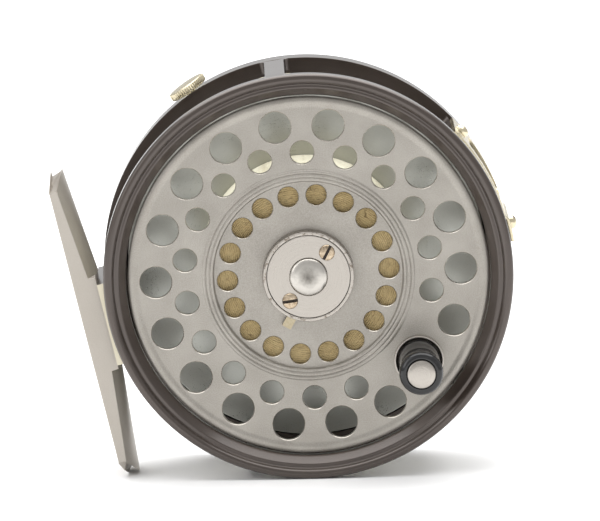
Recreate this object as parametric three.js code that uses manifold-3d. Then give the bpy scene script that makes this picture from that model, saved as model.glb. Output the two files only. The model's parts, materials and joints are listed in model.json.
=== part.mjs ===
// Single-action fly reel, about 86 mm across: a pillared cage with a reel foot, line guard and
// click-pawl check, and a caged spool with a black handle that lifts off a fixed spindle.
//
// Millimetres. The spindle lies along Y, the spool's face looks towards -Y and Z is up. While the
// pieces are made, the origin is on the spindle axis in the plane of the spool's front face. Angles
// on the face are clock angles: degrees clockwise from the top, seen from the front.
import * as THREE from 'three';
import { mergeVertices } from 'three/addons/utils/BufferGeometryUtils.js';
import Module from 'manifold-3d';

const wasm = await Module();
wasm.setup();

// ---------------------------------------------------------------- driving dimensions: cage
const rimRadius = 42.9;            // outside of both rims and of the pillars
const rimWall = 4.7;               // radial thickness of the rims
const ringDepth = 3.0;             // front ring, from its bead to the windows
const ringLip = 1.6;               // the ring's inner lip, reaching back over the spool's edge
const ringLipWall = 1.7;
const ringGrooveInset = 2.3;       // turned groove in the ring's face, inside the rim's outside
const rearRimDepth = 6.1;          // back plate's rim, from the windows to the back face
const backPlateThickness = 2.0;
const backStepRadius = 33.0;       // shallow turned step on the back
const backStepDepth = 0.5;
const pillarWidth = 4.2;
const pillarDepth = 2.6;
const pillarAngle = 351.7;         // the plain pillar beside the check's adjuster
const guardPillarAngles = [49.5, 78.7];
const lowerPillarAngles = [129, 196];
const seam = 0.05;                 // between pieces that are screwed or pinned face to face
const chamfer = 0.3;               // on turned edges

// ---------------------------------------------------------------- driving dimensions: spool
const spoolClearance = 0.4;        // between the flanges' edges and the rims
const flangeThickness = 1.4;
const lineSpace = 20;              // between the flanges
const rearFlangeInset = 1.0;       // how far the rear flange's inner face stops short of the rim
const hubRecess = 0.9;             // the flange's centre lies this far behind its face
const hubRecessRadius = 19.8;
const beadOuterRadius = 22.3;      // double bead round the recess
const beadHeight = 0.35;
const edgeBead = { inset: 0.5, width: 1.4, side: 0.3 };  // low bead near the flange's edge
const largeHoles = { count: 18, circle: 31.95, radius: 3.35, phase: 8.5, skip: [6] };
const smallHoles = { count: 18, circle: 26.0, radius: 2.5, phase: -1.8, skip: [6, 7] };
const hubHoles = { count: 18, circle: 16.95, radius: 2.17, phase: 6.7, skip: [] };
const drumRadius = 12.6;
const drumWall = 1.2;
const lineRadius = 22.3;           // outside of the wound line
const lineGap = 0.15;

// ---------------------------------------------------------------- driving dimensions: hub and latch
const spindleRadius = 2.45;
const spindleNeckDepth = 0.55;     // radial depth of the neck that the latch holds
const spindleFit = 0.15;           // radial, between the spindle and its bush
const spindleCollar = { radius: 5, thickness: 0.8 };
const spindleNut = { radius: 5.6, thickness: 1.9, slot: 1.2 };
const bushRadius = 4.2;
const bushEnd = 0.3;               // how far the bush stands out of the gear
const boreFit = 0.1;               // between the bush and the pieces it passes through
const hubRadius = 9.5;             // housing of the latch
const hubFlare = 0.15;
const hubHeight = 2.75;            // above the flange's recessed centre
const hubInnerRadius = 8.0;
const coverRadius = 8.7;
const coverThickness = 0.75;
const coverFit = 0.1;
const capRadius = 3.9;             // polished dome over the spindle's end
const capHeight = 1.15;
const coverScrew = { circle: 6.4, angle: 38, head: 1.65, headHeight: 0.5, shank: 0.8, slot: 0.4 };
const latchThickness = 0.8;
const latchWidth = 2.0;
const latchReach = 11.9;           // the lever's tip, from the spindle axis
const latchTipAngle = 204;
const latchBendAngle = 188;        // where the lever's arm leaves its ring
const latchTravelDegrees = 4.5;
const latchRingWall = 1.55;
const latchEyeFit = 0.3;           // between the lever's eye and the spindle when released
const latchBite = 0.6;             // how far the eye stands off the spindle axis when latched
const latchPivotRadius = 1.3;
const latchFit = 0.15;
const latchSpringWire = 0.4;
const wireGap = 0.1;               // on both sides of the wire

// ---------------------------------------------------------------- driving dimensions: handle
const handleCircle = 29.35;        // handle's axis, from the spindle axis
const handleAngle = 128.9;
const handleWasher = { radius: 5.2, thickness: 0.8, rim: 0.4, rimWall: 0.35 };
const handlePinRadius = 1.6;
const handleRivet = { radius: 2.5, thickness: 0.5 };  // the pin's end, behind the flange
const handleLength = 17.4;         // from the flange's face to the pin's head
const handleHead = { radius: 2.95, thickness: 1.0, crown: 0.2 };
const knob = { foot: 4.4, waist: 3.8, end: 4.6, rise: 0.45 };  // rise: past the pin head's back
const knobFit = 0.2;

// ---------------------------------------------------------------- driving dimensions: check
const chamberDepth = 3.7;          // between the rear flange and the back plate
const gearTeeth = 28;
const gearRadius = 13.5;
const toothDepth = 1.5;
const gearThickness = 2.2;
const gearScrewCircle = 8.2;
const gearScrew = { head: 1.3, headHeight: 0.5, shank: 0.7 };
const pawlReach = 5.1;             // pawl pivots, outside the gear's teeth
const pawlTeeth = 3;               // whole teeth between the adjuster and each pawl
const pawlRadius = 2.3;
const pawlThickness = 1.8;
const pawlTipWidth = 0.24;
const pawlClearance = 0.3;         // between a pawl's tip and the teeth, so that the gear turns freely
const postRadius = 1.1;
const postShoulder = 0.7;          // how far a post's shoulder stands out behind its pawl
const postShoulderGap = 0.15;
const postEnd = 0.4;               // how far a post reaches past its pawl
const adjusterAngle = 326.3;
const adjusterHead = { radius: 4.25, thickness: 1.6, lift: 0.4, crown: 0.25 };
const adjusterScrewRadius = 1.0;
const adjusterFit = 0.25;
const adjusterEnd = 26.8;          // inner end of the adjuster's screw, from the spindle axis
const saddle = { width: 9.5, length: 4.5, thickness: 2.6, inner: 27.4 };
const checkSpring = { thickness: 0.45, height: 1.8, gap: 0.45, bow: 1.2, end: 1.6 };
const springStud = { radius: 1.1, circle: 34.2, spread: 80, past: 0.3 };

// ---------------------------------------------------------------- driving dimensions: foot and guard
const footLength = 66.4;
const footStraight = 59;           // length of the foot's straight sides
const footWidth = 15;
const footBlockLength = 20;
const footBlockThickness = 5;
const footGap = 0.55;              // between the rim and the foot's block
const footPadMargin = 1.2;         // the cage's pad stops this far short of the block's ends
const footEdge = [3.5, 1.3];       // wing thickness at its sides, by the block and at the tip
const footCrown = [5.6, 3.6];      // and on its centre line
const footHollow = 1.2;            // depth of the hollow under each wing
const footHollowRadius = 24;
const footDepthPlace = 10;         // the foot's centre line, behind the spool's face
const footScrew = { spacing: 13, head: 1.9, shank: 1.1, headDepth: 1.1, sunk: 0.25, slot: 0.5 };
const guardStart = 46.6;           // the guard's upper end
const guardThickness = 0.8;
const guardProud = 0.2;            // how far the guard stands out of the cage
const guardMargin = 1.45;          // between the guard's sides and the window's
const guardRail = 3.5;             // width of the guard on each side of its opening
const guardWindow = { from: 53, to: 70.5 };
const guardTab = { lap: 2.2, end: 82, thickness: 0.7 };
const guardScrew = { head: 1.5, height: 1.3, shank: 0.7 };

// ---------------------------------------------------------------- fineness of round shapes
const rimSegments = 56;
const hubSegments = 30;
const pinSegments = 14;
const holeSegments = 10;
const past = 1;                    // how far a cutting tool runs past the faces that it cuts

// ---------------------------------------------------------------- places worked out from them
const flangeRadius = rimRadius - rimWall - spoolClearance;
const rimInnerRadius = rimRadius - rimWall;
const ringGrooveRadius = rimRadius - ringGrooveInset;
const edgeBeadOuter = flangeRadius - edgeBead.inset;
const edgeBeadInner = edgeBeadOuter - edgeBead.width;
const windowBack = flangeThickness + lineSpace + rearFlangeInset;
const rearFlangeFront = flangeThickness + lineSpace;
const rearFlangeBack = rearFlangeFront + flangeThickness;
const plateFront = rearFlangeBack + chamberDepth;
const plateBack = Math.max(windowBack + rearRimDepth, plateFront + backPlateThickness);
const chamberMiddle = (rearFlangeBack + plateFront) / 2;
const recessFront = hubRecess;
const recessBack = hubRecess + flangeThickness;
const hubFront = recessFront - hubHeight;
const spindleNeckRadius = spindleRadius - spindleNeckDepth;
const latchEyeRadius = spindleRadius + latchEyeFit;
const latchRingRadius = latchEyeRadius + latchRingWall;
const coverBack = hubFront + coverThickness;
const pillarInnerRadius = rimRadius - pillarDepth;
const pitchDegrees = 360 / gearTeeth;
const pawlSpread = pawlTeeth * pitchDegrees;
const pawlCircle = gearRadius + pawlReach;
const pawlSides = [-1, 1];
const guardOuterRadius = rimRadius + guardProud;
const guardInnerRadius = guardOuterRadius - guardThickness;
const guardMiddle = windowBack / 2;
const guardWidth = windowBack - 2 * guardMargin;
const guardWindowWidth = guardWidth - 2 * guardRail;
const footInnerFace = rimRadius + footGap;
const footSeat = footInnerFace + footBlockThickness;

// The reel rests on its rims and the foot's lower tip, so the foot leans by this angle.
const footTipOut = footSeat - footHollow;
const footTipReach = Math.hypot(footTipOut, footLength / 2);
const footLean = Math.asin(rimRadius / footTipReach) - Math.atan2(footLength / 2, footTipOut);
const footAngle = 270 - THREE.MathUtils.radToDeg(footLean);
const footScrewTop = footSeat - footScrew.sunk;
const footScrewPlaces = [-footScrew.spacing / 2, footScrew.spacing / 2];

// ---------------------------------------------------------------- helpers
const radians = THREE.MathUtils.degToRad;

// A point in the face's plane, at a radius and a clock angle.
function polar(radius, degrees) {
  return new THREE.Vector2(radius * Math.sin(radians(degrees)), radius * Math.cos(radians(degrees)));
}

// The same place as a position in the reel, at depth y.
function place(radius, degrees, y = 0) {
  const flat = polar(radius, degrees);
  return new THREE.Vector3(flat.x, y, flat.y);
}

// Keeps only the positions, joins the vertices that meet and turns the faces outwards.
function closed(geometry) {
  const bare = new THREE.BufferGeometry();
  bare.setAttribute('position', geometry.getAttribute('position').clone());
  if (geometry.index) bare.setIndex(geometry.index.clone());
  const merged = mergeVertices(bare, 1e-5);
  const corner = merged.getAttribute('position');
  const order = Array.from(merged.index.array);
  const kept = [];
  let volume = 0;
  const [a, b, c] = [new THREE.Vector3(), new THREE.Vector3(), new THREE.Vector3()];
  for (let i = 0; i < order.length; i += 3) {
    const [p, q, r] = order.slice(i, i + 3);
    if (p === q || q === r || r === p) continue;
    kept.push(p, q, r);
    volume += a.fromBufferAttribute(corner, p)
      .dot(b.fromBufferAttribute(corner, q).cross(c.fromBufferAttribute(corner, r)));
  }
  merged.setIndex(volume < 0 ? kept.reverse() : kept);
  return merged;
}

function solid(geometry) {
  const mesh = closed(geometry);
  return new wasm.Manifold(new wasm.Mesh({
    numProp: 3,
    vertProperties: new Float32Array(mesh.getAttribute('position').array),
    triVerts: new Uint32Array(mesh.index.array),
  }));
}

function geometryOf(manifold) {
  const mesh = manifold.getMesh();
  const geometry = new THREE.BufferGeometry();
  geometry.setAttribute('position', new THREE.BufferAttribute(mesh.vertProperties, 3));
  geometry.setIndex(new THREE.BufferAttribute(mesh.triVerts, 1));
  return geometry;
}

function cut(geometry, ...tools) {
  return geometryOf(tools.reduce((body, tool) => body.subtract(solid(tool)), solid(geometry)));
}

function joined(geometry, ...others) {
  return geometryOf(others.reduce((body, other) => body.add(solid(other)), solid(geometry)));
}

// A shape turned about Y from a list of [radius, y]. A profile off the axis closes on itself.
function turned(profile, segments = hubSegments) {
  const points = profile.map(([radius, y]) => new THREE.Vector2(radius, y));
  if (profile[0][0] > 0) points.push(points[0].clone());
  return new THREE.LatheGeometry(points, segments);
}

// A plain round bar along Y.
function rod(radius, y0, y1, segments = pinSegments) {
  return turned([[0, y0], [radius, y0], [radius, y1], [0, y1]], segments);
}

// A tube along Y.
function tube(inner, outer, y0, y1, segments = hubSegments) {
  return turned([[inner, y0], [outer, y0], [outer, y1], [inner, y1]], segments);
}

// A flat outline in the face's plane, carried from depth y0 to y1.
function plate(outline, y0, y1) {
  const shape = outline instanceof THREE.Shape ? outline : new THREE.Shape(outline);
  const geometry = new THREE.ExtrudeGeometry(shape, { depth: y1 - y0, bevelEnabled: false });
  return geometry.rotateX(Math.PI / 2).translate(0, y1, 0);
}

// The outline between two radii and two clock angles.
function sector(inner, outer, from, to, steps = 6) {
  const outline = [];
  for (let i = 0; i <= steps; i += 1) outline.push(polar(outer, from + ((to - from) * i) / steps));
  for (let i = steps; i >= 0; i -= 1) outline.push(polar(inner, from + ((to - from) * i) / steps));
  return outline;
}

// Turns a shape made about Y so that its axis points outwards along a clock angle.
function radial(geometry, degrees, y) {
  return geometry.rotateX(Math.PI / 2).rotateY(radians(degrees)).translate(0, y, 0);
}

function ringAngles({ count, phase, skip }) {
  const angles = [];
  for (let i = 0; i < count; i += 1) {
    if (!skip.includes(i)) angles.push(phase + (360 * i) / count);
  }
  return angles;
}

function boresAt(circle, angles, radius, y0, y1) {
  return angles.map((angle) => {
    const centre = place(circle, angle);
    return rod(radius, y0, y1, holeSegments).translate(centre.x, 0, centre.z);
  });
}

function holeTools({ circle, radius, ...pattern }, y0, y1) {
  return boresAt(circle, ringAngles(pattern), radius, y0, y1);
}

// ---------------------------------------------------------------- materials and assembly
function finish(color, roughness, metalness) {
  return new THREE.MeshStandardMaterial({ color, roughness, metalness });
}

const cageGrey = finish(0x4f4946, 0.42, 0.55);
const spoolSilver = finish(0xbab6ae, 0.5, 0.6);
const polished = finish(0xd6d2ca, 0.22, 1);
const footAlloy = finish(0xb9b6ac, 0.38, 1);
const nickelSilver = finish(0xd8cfae, 0.25, 1);
const steel = finish(0xa9a8a5, 0.3, 1);
const springSteel = finish(0x6b6d70, 0.35, 1);
const brass = finish(0xb8975a, 0.3, 1);
const blackKnob = finish(0x121212, 0.12, 0);
const backing = finish(0xb3a068, 0.85, 0);

const reel = new THREE.Group();
const cage = new THREE.Group();
const spool = new THREE.Group();
reel.add(cage, spool);

function piece(parent, name, geometry, material) {
  const mesh = new THREE.Mesh(closed(geometry), material);
  mesh.name = name;
  parent.add(mesh);
  return mesh;
}

// A group that stands at a place in the reel, for pieces made about their own axis.
function stand(parent, position) {
  const group = new THREE.Group();
  group.position.copy(position);
  parent.add(group);
  return group;
}

// A group whose own Y axis points outwards along a clock angle, at depth y.
function radialStand(parent, degrees, y) {
  const group = new THREE.Group();
  group.position.set(0, y, 0);
  group.rotation.set(Math.PI / 2, radians(degrees), 0, 'YXZ');
  parent.add(group);
  return group;
}

// ---------------------------------------------------------------- cage
function frontRing() {
  const inner = rimInnerRadius;
  const face = -ringDepth;
  return turned([
    [inner, ringLip],
    [inner, -0.1],
    [inner + 0.3, -0.5],
    [ringGrooveRadius - 0.7, face + 0.95],
    [ringGrooveRadius, face + 1.15],
    [ringGrooveRadius + 0.5, face + 0.35],
    [ringGrooveRadius + 1.1, face],
    [rimRadius - 0.35, face + 0.2],
    [rimRadius, face + 0.75],
    [rimRadius, 0],
    [inner + ringLipWall, 0],
    [inner + ringLipWall, ringLip],
  ], rimSegments);
}

function backPlate() {
  const body = turned([
    [0, plateFront],
    [rimInnerRadius, plateFront],
    [rimInnerRadius, windowBack],
    [rimRadius, windowBack],
    [rimRadius, plateBack - 0.8],
    [rimRadius - 0.8, plateBack],
    [backStepRadius, plateBack],
    [backStepRadius - backStepDepth, plateBack - backStepDepth],
    [0, plateBack - backStepDepth],
  ], rimSegments);
  const adjusterHole = radial(
    rod(adjusterScrewRadius + adjusterFit, rimInnerRadius - 1, rimRadius + 1, holeSegments),
    adjusterAngle,
    chamberMiddle,
  );
  const through = [plateFront - 1, plateBack + 1];
  const spindleHole = rod(spindleRadius + seam, ...through, hubSegments);
  const pawlAngles = pawlSides.map((side) => adjusterAngle + side * pawlSpread);
  const postHoles = boresAt(pawlCircle, pawlAngles, postRadius + boreFit, ...through);
  return cut(body, adjusterHole, spindleHole, ...postHoles);
}

const pillarHalf = THREE.MathUtils.radToDeg(pillarWidth / 2 / rimRadius);

function pillar(angle, outerRadius = rimRadius) {
  const outline = sector(pillarInnerRadius, outerRadius, angle - pillarHalf, angle + pillarHalf, 2);
  return plate(outline, seam, windowBack - seam);
}

function guardPillar(angle, outerRadius) {
  const hole = rod(guardScrew.shank + boreFit, pillarInnerRadius - 1, rimRadius + 1, holeSegments);
  return cut(pillar(angle, outerRadius), radial(hole, angle, windowBack / 2));
}

// The broad pillar behind the foot has a flat outer face that carries the foot's block. Its outline
// is worked out from the distance along the foot.
function footPillar() {
  const half = footBlockLength / 2 - footPadMargin;
  const out = polar(1, footAngle);
  const up = new THREE.Vector2(out.y, -out.x);
  const at = (along, reach) => out.clone().multiplyScalar(reach).addScaledVector(up, along);
  const outline = [at(-half, footInnerFace - seam), at(half, footInnerFace - seam)];
  for (let i = 6; i >= 0; i -= 1) {
    const along = half * (i / 3 - 1);
    outline.push(at(along, Math.sqrt(pillarInnerRadius ** 2 - along ** 2)));
  }
  const holes = footScrewPlaces.map((along) => footSpace(
    rod(footScrew.shank + boreFit, pillarInnerRadius - 2, footSeat, holeSegments).translate(along, 0, 0),
  ));
  return cut(plate(outline, seam, windowBack - seam), ...holes);
}

piece(cage, 'frame_front_ring', frontRing(), cageGrey);
piece(cage, 'frame_back_plate', backPlate(), cageGrey);
piece(cage, 'frame_pillar_top', pillar(pillarAngle), cageGrey);
const upperGuardPillar = guardPillar(guardPillarAngles[0], guardInnerRadius - seam);
const lowerGuardPillar = guardPillar(guardPillarAngles[1], rimRadius);
piece(cage, 'frame_pillar_guard_upper', upperGuardPillar, cageGrey);
piece(cage, 'frame_pillar_guard_lower', lowerGuardPillar, cageGrey);
lowerPillarAngles.forEach((angle, i) => piece(cage, `frame_pillar_lower_${i + 1}`, pillar(angle), cageGrey));

// ---------------------------------------------------------------- foot
// Foot shapes are made with X along the foot, Y out to the rod and Z across, then turned into place.
function footSpace(geometry) {
  const turn = new THREE.Matrix4().makeBasis(
    new THREE.Vector3(-Math.sin(footLean), 0, Math.cos(footLean)),
    new THREE.Vector3(-Math.cos(footLean), 0, -Math.sin(footLean)),
    new THREE.Vector3(0, 1, 0),
  );
  turn.setPosition(0, footDepthPlace, 0);
  return geometry.applyMatrix4(turn);
}

// One wing: a grid of its reel side, whose thickness falls towards the tip and towards both sides,
// over a flat seat. The tip is round in plan.
function footWing(side) {
  const inner = footBlockLength / 2 - 0.5;
  const [rows, columns] = [9, 8];
  const positions = [];
  const faces = [];
  for (let i = 0; i <= rows; i += 1) {
    for (let j = 0; j <= columns; j += 1) {
      const across = (2 * j) / columns - 1;
      const tip = footStraight / 2 + (footLength - footStraight) / 2 * (1 - across * across);
      const along = inner + ((tip - inner) * i) / rows;
      const share = (along - inner) / (footLength / 2 - inner);
      const edge = THREE.MathUtils.lerp(footEdge[0], footEdge[1], share);
      const crown = THREE.MathUtils.lerp(footCrown[0], footCrown[1], share);
      const thickness = edge + (crown - edge) * (1 - across * across);
      positions.push(side * along, footSeat - thickness, (across * footWidth) / 2);
      positions.push(side * along, footSeat, (across * footWidth) / 2);
    }
  }
  const at = (i, j, level) => 2 * (i * (columns + 1) + j) + level;
  const quad = (p, q, r, s) => faces.push(p, q, r, p, r, s);
  for (let i = 0; i < rows; i += 1) {
    for (let j = 0; j < columns; j += 1) {
      quad(at(i, j, 0), at(i + 1, j, 0), at(i + 1, j + 1, 0), at(i, j + 1, 0));
      quad(at(i, j, 1), at(i, j + 1, 1), at(i + 1, j + 1, 1), at(i + 1, j, 1));
    }
    quad(at(i, 0, 0), at(i, 0, 1), at(i + 1, 0, 1), at(i + 1, 0, 0));
    quad(at(i, columns, 0), at(i + 1, columns, 0), at(i + 1, columns, 1), at(i, columns, 1));
  }
  for (let j = 0; j < columns; j += 1) {
    quad(at(0, j, 0), at(0, j + 1, 0), at(0, j + 1, 1), at(0, j, 1));
    quad(at(rows, j, 0), at(rows, j, 1), at(rows, j + 1, 1), at(rows, j + 1, 0));
  }
  const geometry = new THREE.BufferGeometry();
  geometry.setAttribute('position', new THREE.Float32BufferAttribute(positions, 3));
  geometry.setIndex(faces);
  const reach = footLength / 2;
  const hollow = new THREE.CylinderGeometry(footHollowRadius, footHollowRadius, reach, 96)
    .rotateZ(Math.PI / 2)
    .translate(side * (footBlockLength / 2 + 1 + reach / 2), footSeat + footHollowRadius - footHollow, 0);
  return cut(geometry, hollow);
}

function foot() {
  const block = new THREE.BoxGeometry(footBlockLength, footBlockThickness, footWidth)
    .translate(0, footSeat - footBlockThickness / 2, 0);
  const sunk = footScrewPlaces.map((along) => turned([
    [0, footInnerFace - 1],
    [footScrew.shank + boreFit, footInnerFace - 1],
    [footScrew.shank + boreFit, footScrewTop - footScrew.headDepth - boreFit],
    [footScrew.head + boreFit, footScrewTop - boreFit],
    [footScrew.head + boreFit, footSeat + 1],
    [0, footSeat + 1],
  ], pinSegments).translate(along, 0, 0));
  return footSpace(cut(joined(block, footWing(1), footWing(-1)), ...sunk));
}

function slotted(geometry, width, slotWidth, top, depth) {
  return cut(geometry, new THREE.BoxGeometry(2 * width, 2 * depth, slotWidth).translate(0, top, 0));
}

function footScrewShape() {
  return slotted(turned([
    [0, pillarInnerRadius + 0.3],
    [footScrew.shank, pillarInnerRadius + 0.3],
    [footScrew.shank, footScrewTop - footScrew.headDepth],
    [footScrew.head, footScrewTop],
    [0, footScrewTop],
  ], pinSegments), footScrew.head, footScrew.slot, footScrewTop, 0.5);
}

piece(cage, 'frame_foot_pillar', footPillar(), cageGrey);
piece(cage, 'reel_foot', foot(), footAlloy);
footScrewPlaces.forEach((along, i) => {
  piece(cage, `foot_screw_${i + 1}`, footSpace(footScrewShape().translate(along, 0, 0)), steel);
});

// ---------------------------------------------------------------- line guard
function lineGuard() {
  const from = guardMiddle - guardWidth / 2;
  const to = guardMiddle + guardWidth / 2;
  const bandEnd = guardPillarAngles[1] - pillarHalf - 0.4;
  const tabInner = rimRadius + seam;
  const tabOuter = tabInner + guardTab.thickness;
  const band = plate(sector(guardInnerRadius, guardOuterRadius, guardStart, bandEnd, 10), from, to);
  const tab = plate(sector(tabInner, tabOuter, bandEnd - guardTab.lap, guardTab.end, 4), from, to);
  const lineWindow = plate(
    sector(guardInnerRadius - 2, tabOuter + 2, guardWindow.from, guardWindow.to, 8),
    guardMiddle - guardWindowWidth / 2,
    guardMiddle + guardWindowWidth / 2,
  );
  const holes = guardPillarAngles.map((angle) => radial(
    rod(guardScrew.shank + boreFit, guardInnerRadius - 3, tabOuter + 3, holeSegments),
    angle,
    guardMiddle,
  ));
  return cut(joined(band, tab), lineWindow, ...holes);
}

function guardScrewShape(headSeat) {
  const top = headSeat + guardScrew.height;
  return slotted(turned([
    [0, headSeat - 2.4],
    [guardScrew.shank, headSeat - 2.4],
    [guardScrew.shank, headSeat],
    [guardScrew.head, headSeat],
    [guardScrew.head, headSeat + 0.35],
    [guardScrew.head * 0.75, top - 0.3],
    [guardScrew.head * 0.35, top],
    [0, top],
  ], pinSegments), guardScrew.head, 0.4, top, 0.5);
}

piece(cage, 'line_guard', lineGuard(), nickelSilver);

// The screws go through the guard into the pillars.
const guardScrewSeats = [
  guardOuterRadius + seam,
  rimRadius + seam + guardTab.thickness + seam,
];
guardPillarAngles.forEach((angle, i) => {
  const screw = guardScrewShape(guardScrewSeats[i]);
  piece(radialStand(cage, angle, guardMiddle), `guard_screw_${i + 1}`, screw, nickelSilver);
});

// ---------------------------------------------------------------- spindle
const spindleTip = coverBack + 0.15;
const latchBack = recessFront - latchSpringWire - 2 * wireGap;
const latchFront = latchBack - latchThickness;

function spindle() {
  const shoulder = plateFront - seam;
  return turned([
    [0, spindleTip],
    [spindleRadius - chamfer, spindleTip],
    [spindleRadius, spindleTip + chamfer],
    [spindleRadius, latchFront - latchFit],
    [spindleNeckRadius, latchFront - latchFit],
    [spindleNeckRadius, latchBack + latchFit],
    [spindleRadius, latchBack + latchFit],
    [spindleRadius, shoulder - spindleCollar.thickness],
    [spindleCollar.radius, shoulder - spindleCollar.thickness],
    [spindleCollar.radius, shoulder],
    [spindleRadius, shoulder],
    [spindleRadius, plateBack + spindleNut.thickness - chamfer],
    [0, plateBack + spindleNut.thickness - chamfer],
  ], hubSegments);
}

function spindleNutShape() {
  const back = plateBack - backStepDepth;
  const nut = turned([
    [spindleRadius + seam, back + seam],
    [spindleNut.radius, back + seam],
    [spindleNut.radius, back + spindleNut.thickness - chamfer],
    [spindleNut.radius - chamfer, back + spindleNut.thickness],
    [spindleRadius + seam, back + spindleNut.thickness],
  ], hubSegments);
  return slotted(nut, spindleNut.radius, spindleNut.slot, back + spindleNut.thickness, 0.6);
}

piece(cage, 'spindle', spindle(), steel);
piece(cage, 'spindle_nut', spindleNutShape(), steel);

// ---------------------------------------------------------------- check: pawls, springs, adjuster
const pawlLength = pawlReach - pawlClearance;

// Pawls point at the spindle from a round heel on their post.
function pawl() {
  const outline = [];
  for (let i = 0; i <= 12; i += 1) {
    outline.push(polar(pawlRadius, -90 + 15 * i));
  }
  outline.push(new THREE.Vector2(pawlTipWidth / 2, -pawlLength));
  outline.push(new THREE.Vector2(-pawlTipWidth / 2, -pawlLength));
  const bore = rod(postRadius + boreFit, -pawlThickness, pawlThickness, holeSegments);
  return cut(plate(outline, -pawlThickness / 2, pawlThickness / 2), bore);
}

function pawlPost() {
  const foot = plateFront - chamberMiddle - seam;
  const tip = -pawlThickness / 2 - postEnd;
  const shoulder = pawlThickness / 2 + postShoulderGap;
  const back = plateBack - backStepDepth - chamberMiddle;
  return turned([
    [0, tip],
    [postRadius, tip],
    [postRadius, shoulder],
    [postRadius + postShoulder, shoulder],
    [postRadius + postShoulder, foot],
    [postRadius, foot],
    [postRadius, back],
    [0, back],
  ], pinSegments);
}

function springStudShape() {
  const tip = -checkSpring.height / 2 - springStud.past;
  return rod(springStud.radius, tip, plateFront - chamberMiddle - seam);
}

// A leaf spring runs from its stud, over the pawl's heel, to just inside the saddle.
function checkSpringShape(side) {
  const heel = pawlCircle + pawlRadius + checkSpring.gap + checkSpring.thickness / 2;
  const stud = springStud.circle - springStud.radius - checkSpring.thickness;
  const route = [
    polar(stud, adjusterAngle + side * springStud.spread),
    polar((stud + heel) / 2 + checkSpring.bow, adjusterAngle + side * (springStud.spread + pawlSpread) / 2),
    polar(heel, adjusterAngle + side * pawlSpread),
    polar(heel + checkSpring.bow, adjusterAngle + side * pawlSpread * 0.55),
    polar(saddle.inner - checkSpring.end, adjusterAngle + side * pawlSpread * 0.18),
  ];
  const middle = new THREE.SplineCurve(route).getSpacedPoints(18);
  const offset = (sign) => middle.map((point, i) => {
    const ahead = middle[Math.min(i + 1, middle.length - 1)];
    const behind = middle[Math.max(i - 1, 0)];
    const along = ahead.clone().sub(behind).normalize();
    const across = new THREE.Vector2(-along.y, along.x).multiplyScalar(sign * checkSpring.thickness / 2);
    return point.clone().add(across);
  });
  return plate([...offset(1), ...offset(-1).reverse()], -checkSpring.height / 2, checkSpring.height / 2);
}

// The saddle rides on the adjuster's screw. Both are made about the adjuster's axis.
function saddleShape() {
  const block = new THREE.BoxGeometry(saddle.width, saddle.length, saddle.thickness)
    .translate(0, saddle.inner + saddle.length / 2, 0);
  return cut(block, rod(adjusterScrewRadius + boreFit, saddle.inner - 1, saddle.inner + saddle.length + 1));
}

function adjuster() {
  const headFoot = rimRadius + adjusterHead.lift;
  const headTop = headFoot + adjusterHead.thickness;
  return turned([
    [0, adjusterEnd],
    [adjusterScrewRadius, adjusterEnd],
    [adjusterScrewRadius, headFoot],
    [adjusterHead.radius - 0.2, headFoot],
    [adjusterHead.radius, headFoot + 0.2],
    [adjusterHead.radius, headTop - 0.3],
    [adjusterHead.radius - 0.3, headTop],
    [adjusterHead.radius * 0.6, headTop + adjusterHead.crown * 0.7],
    [0, headTop + adjusterHead.crown],
  ], hubSegments);
}

pawlSides.forEach((side, i) => {
  const angle = adjusterAngle + side * pawlSpread;
  const pivot = stand(cage, place(pawlCircle, angle, chamberMiddle));
  pivot.rotation.y = radians(angle);
  piece(pivot, `pawl_${i + 1}`, pawl(), steel);
  piece(pivot, `pawl_post_${i + 1}`, pawlPost(), steel);
  const stud = place(springStud.circle, adjusterAngle + side * (springStud.spread + 1), chamberMiddle);
  piece(stand(cage, stud), `spring_stud_${i + 1}`, springStudShape(), steel);
  const level = stand(cage, new THREE.Vector3(0, chamberMiddle, 0));
  piece(level, `check_spring_${i + 1}`, checkSpringShape(side), springSteel);
});
const adjusterStand = radialStand(cage, adjusterAngle, chamberMiddle);
piece(adjusterStand, 'check_saddle', saddleShape(), brass);
piece(adjusterStand, 'check_adjuster', adjuster(), nickelSilver);

// ---------------------------------------------------------------- spool
function frontFlange() {
  const body = turned([
    [bushRadius + boreFit, recessFront],
    [hubRecessRadius, recessFront],
    [hubRecessRadius + 0.2, -beadHeight],
    [beadOuterRadius - 0.2, -beadHeight],
    [beadOuterRadius, 0],
    [edgeBeadInner, 0],
    [edgeBeadInner + edgeBead.side, -beadHeight / 2],
    [edgeBeadOuter - edgeBead.side, -beadHeight / 2],
    [edgeBeadOuter, 0],
    [flangeRadius, 0],
    [flangeRadius, flangeThickness],
    [beadOuterRadius, flangeThickness],
    [beadOuterRadius - 0.8, recessBack],
    [bushRadius + boreFit, recessBack],
  ], rimSegments);
  const through = [-2, recessBack + 2];
  return cut(
    body,
    ...holeTools(largeHoles, ...through),
    ...holeTools(smallHoles, ...through),
    ...holeTools(hubHoles, ...through),
    ...boresAt(handleCircle, [handleAngle], handlePinRadius + boreFit, ...through),
    ...boresAt(coverScrew.circle, coverScrewAngles, coverScrew.shank + boreFit, ...through),
  );
}

const coverScrewAngles = [coverScrew.angle, coverScrew.angle + 180];
const gearScrewAngles = [0, 120, 240];
const gearFront = rearFlangeBack + seam;
const gearBack = gearFront + gearThickness;

function rearFlange() {
  const body = tube(bushRadius + boreFit, flangeRadius, rearFlangeFront, rearFlangeBack, rimSegments);
  const through = [rearFlangeFront - past, rearFlangeBack + past];
  return cut(body, ...boresAt(gearScrewCircle, gearScrewAngles, gearScrew.shank + boreFit, ...through));
}

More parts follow.
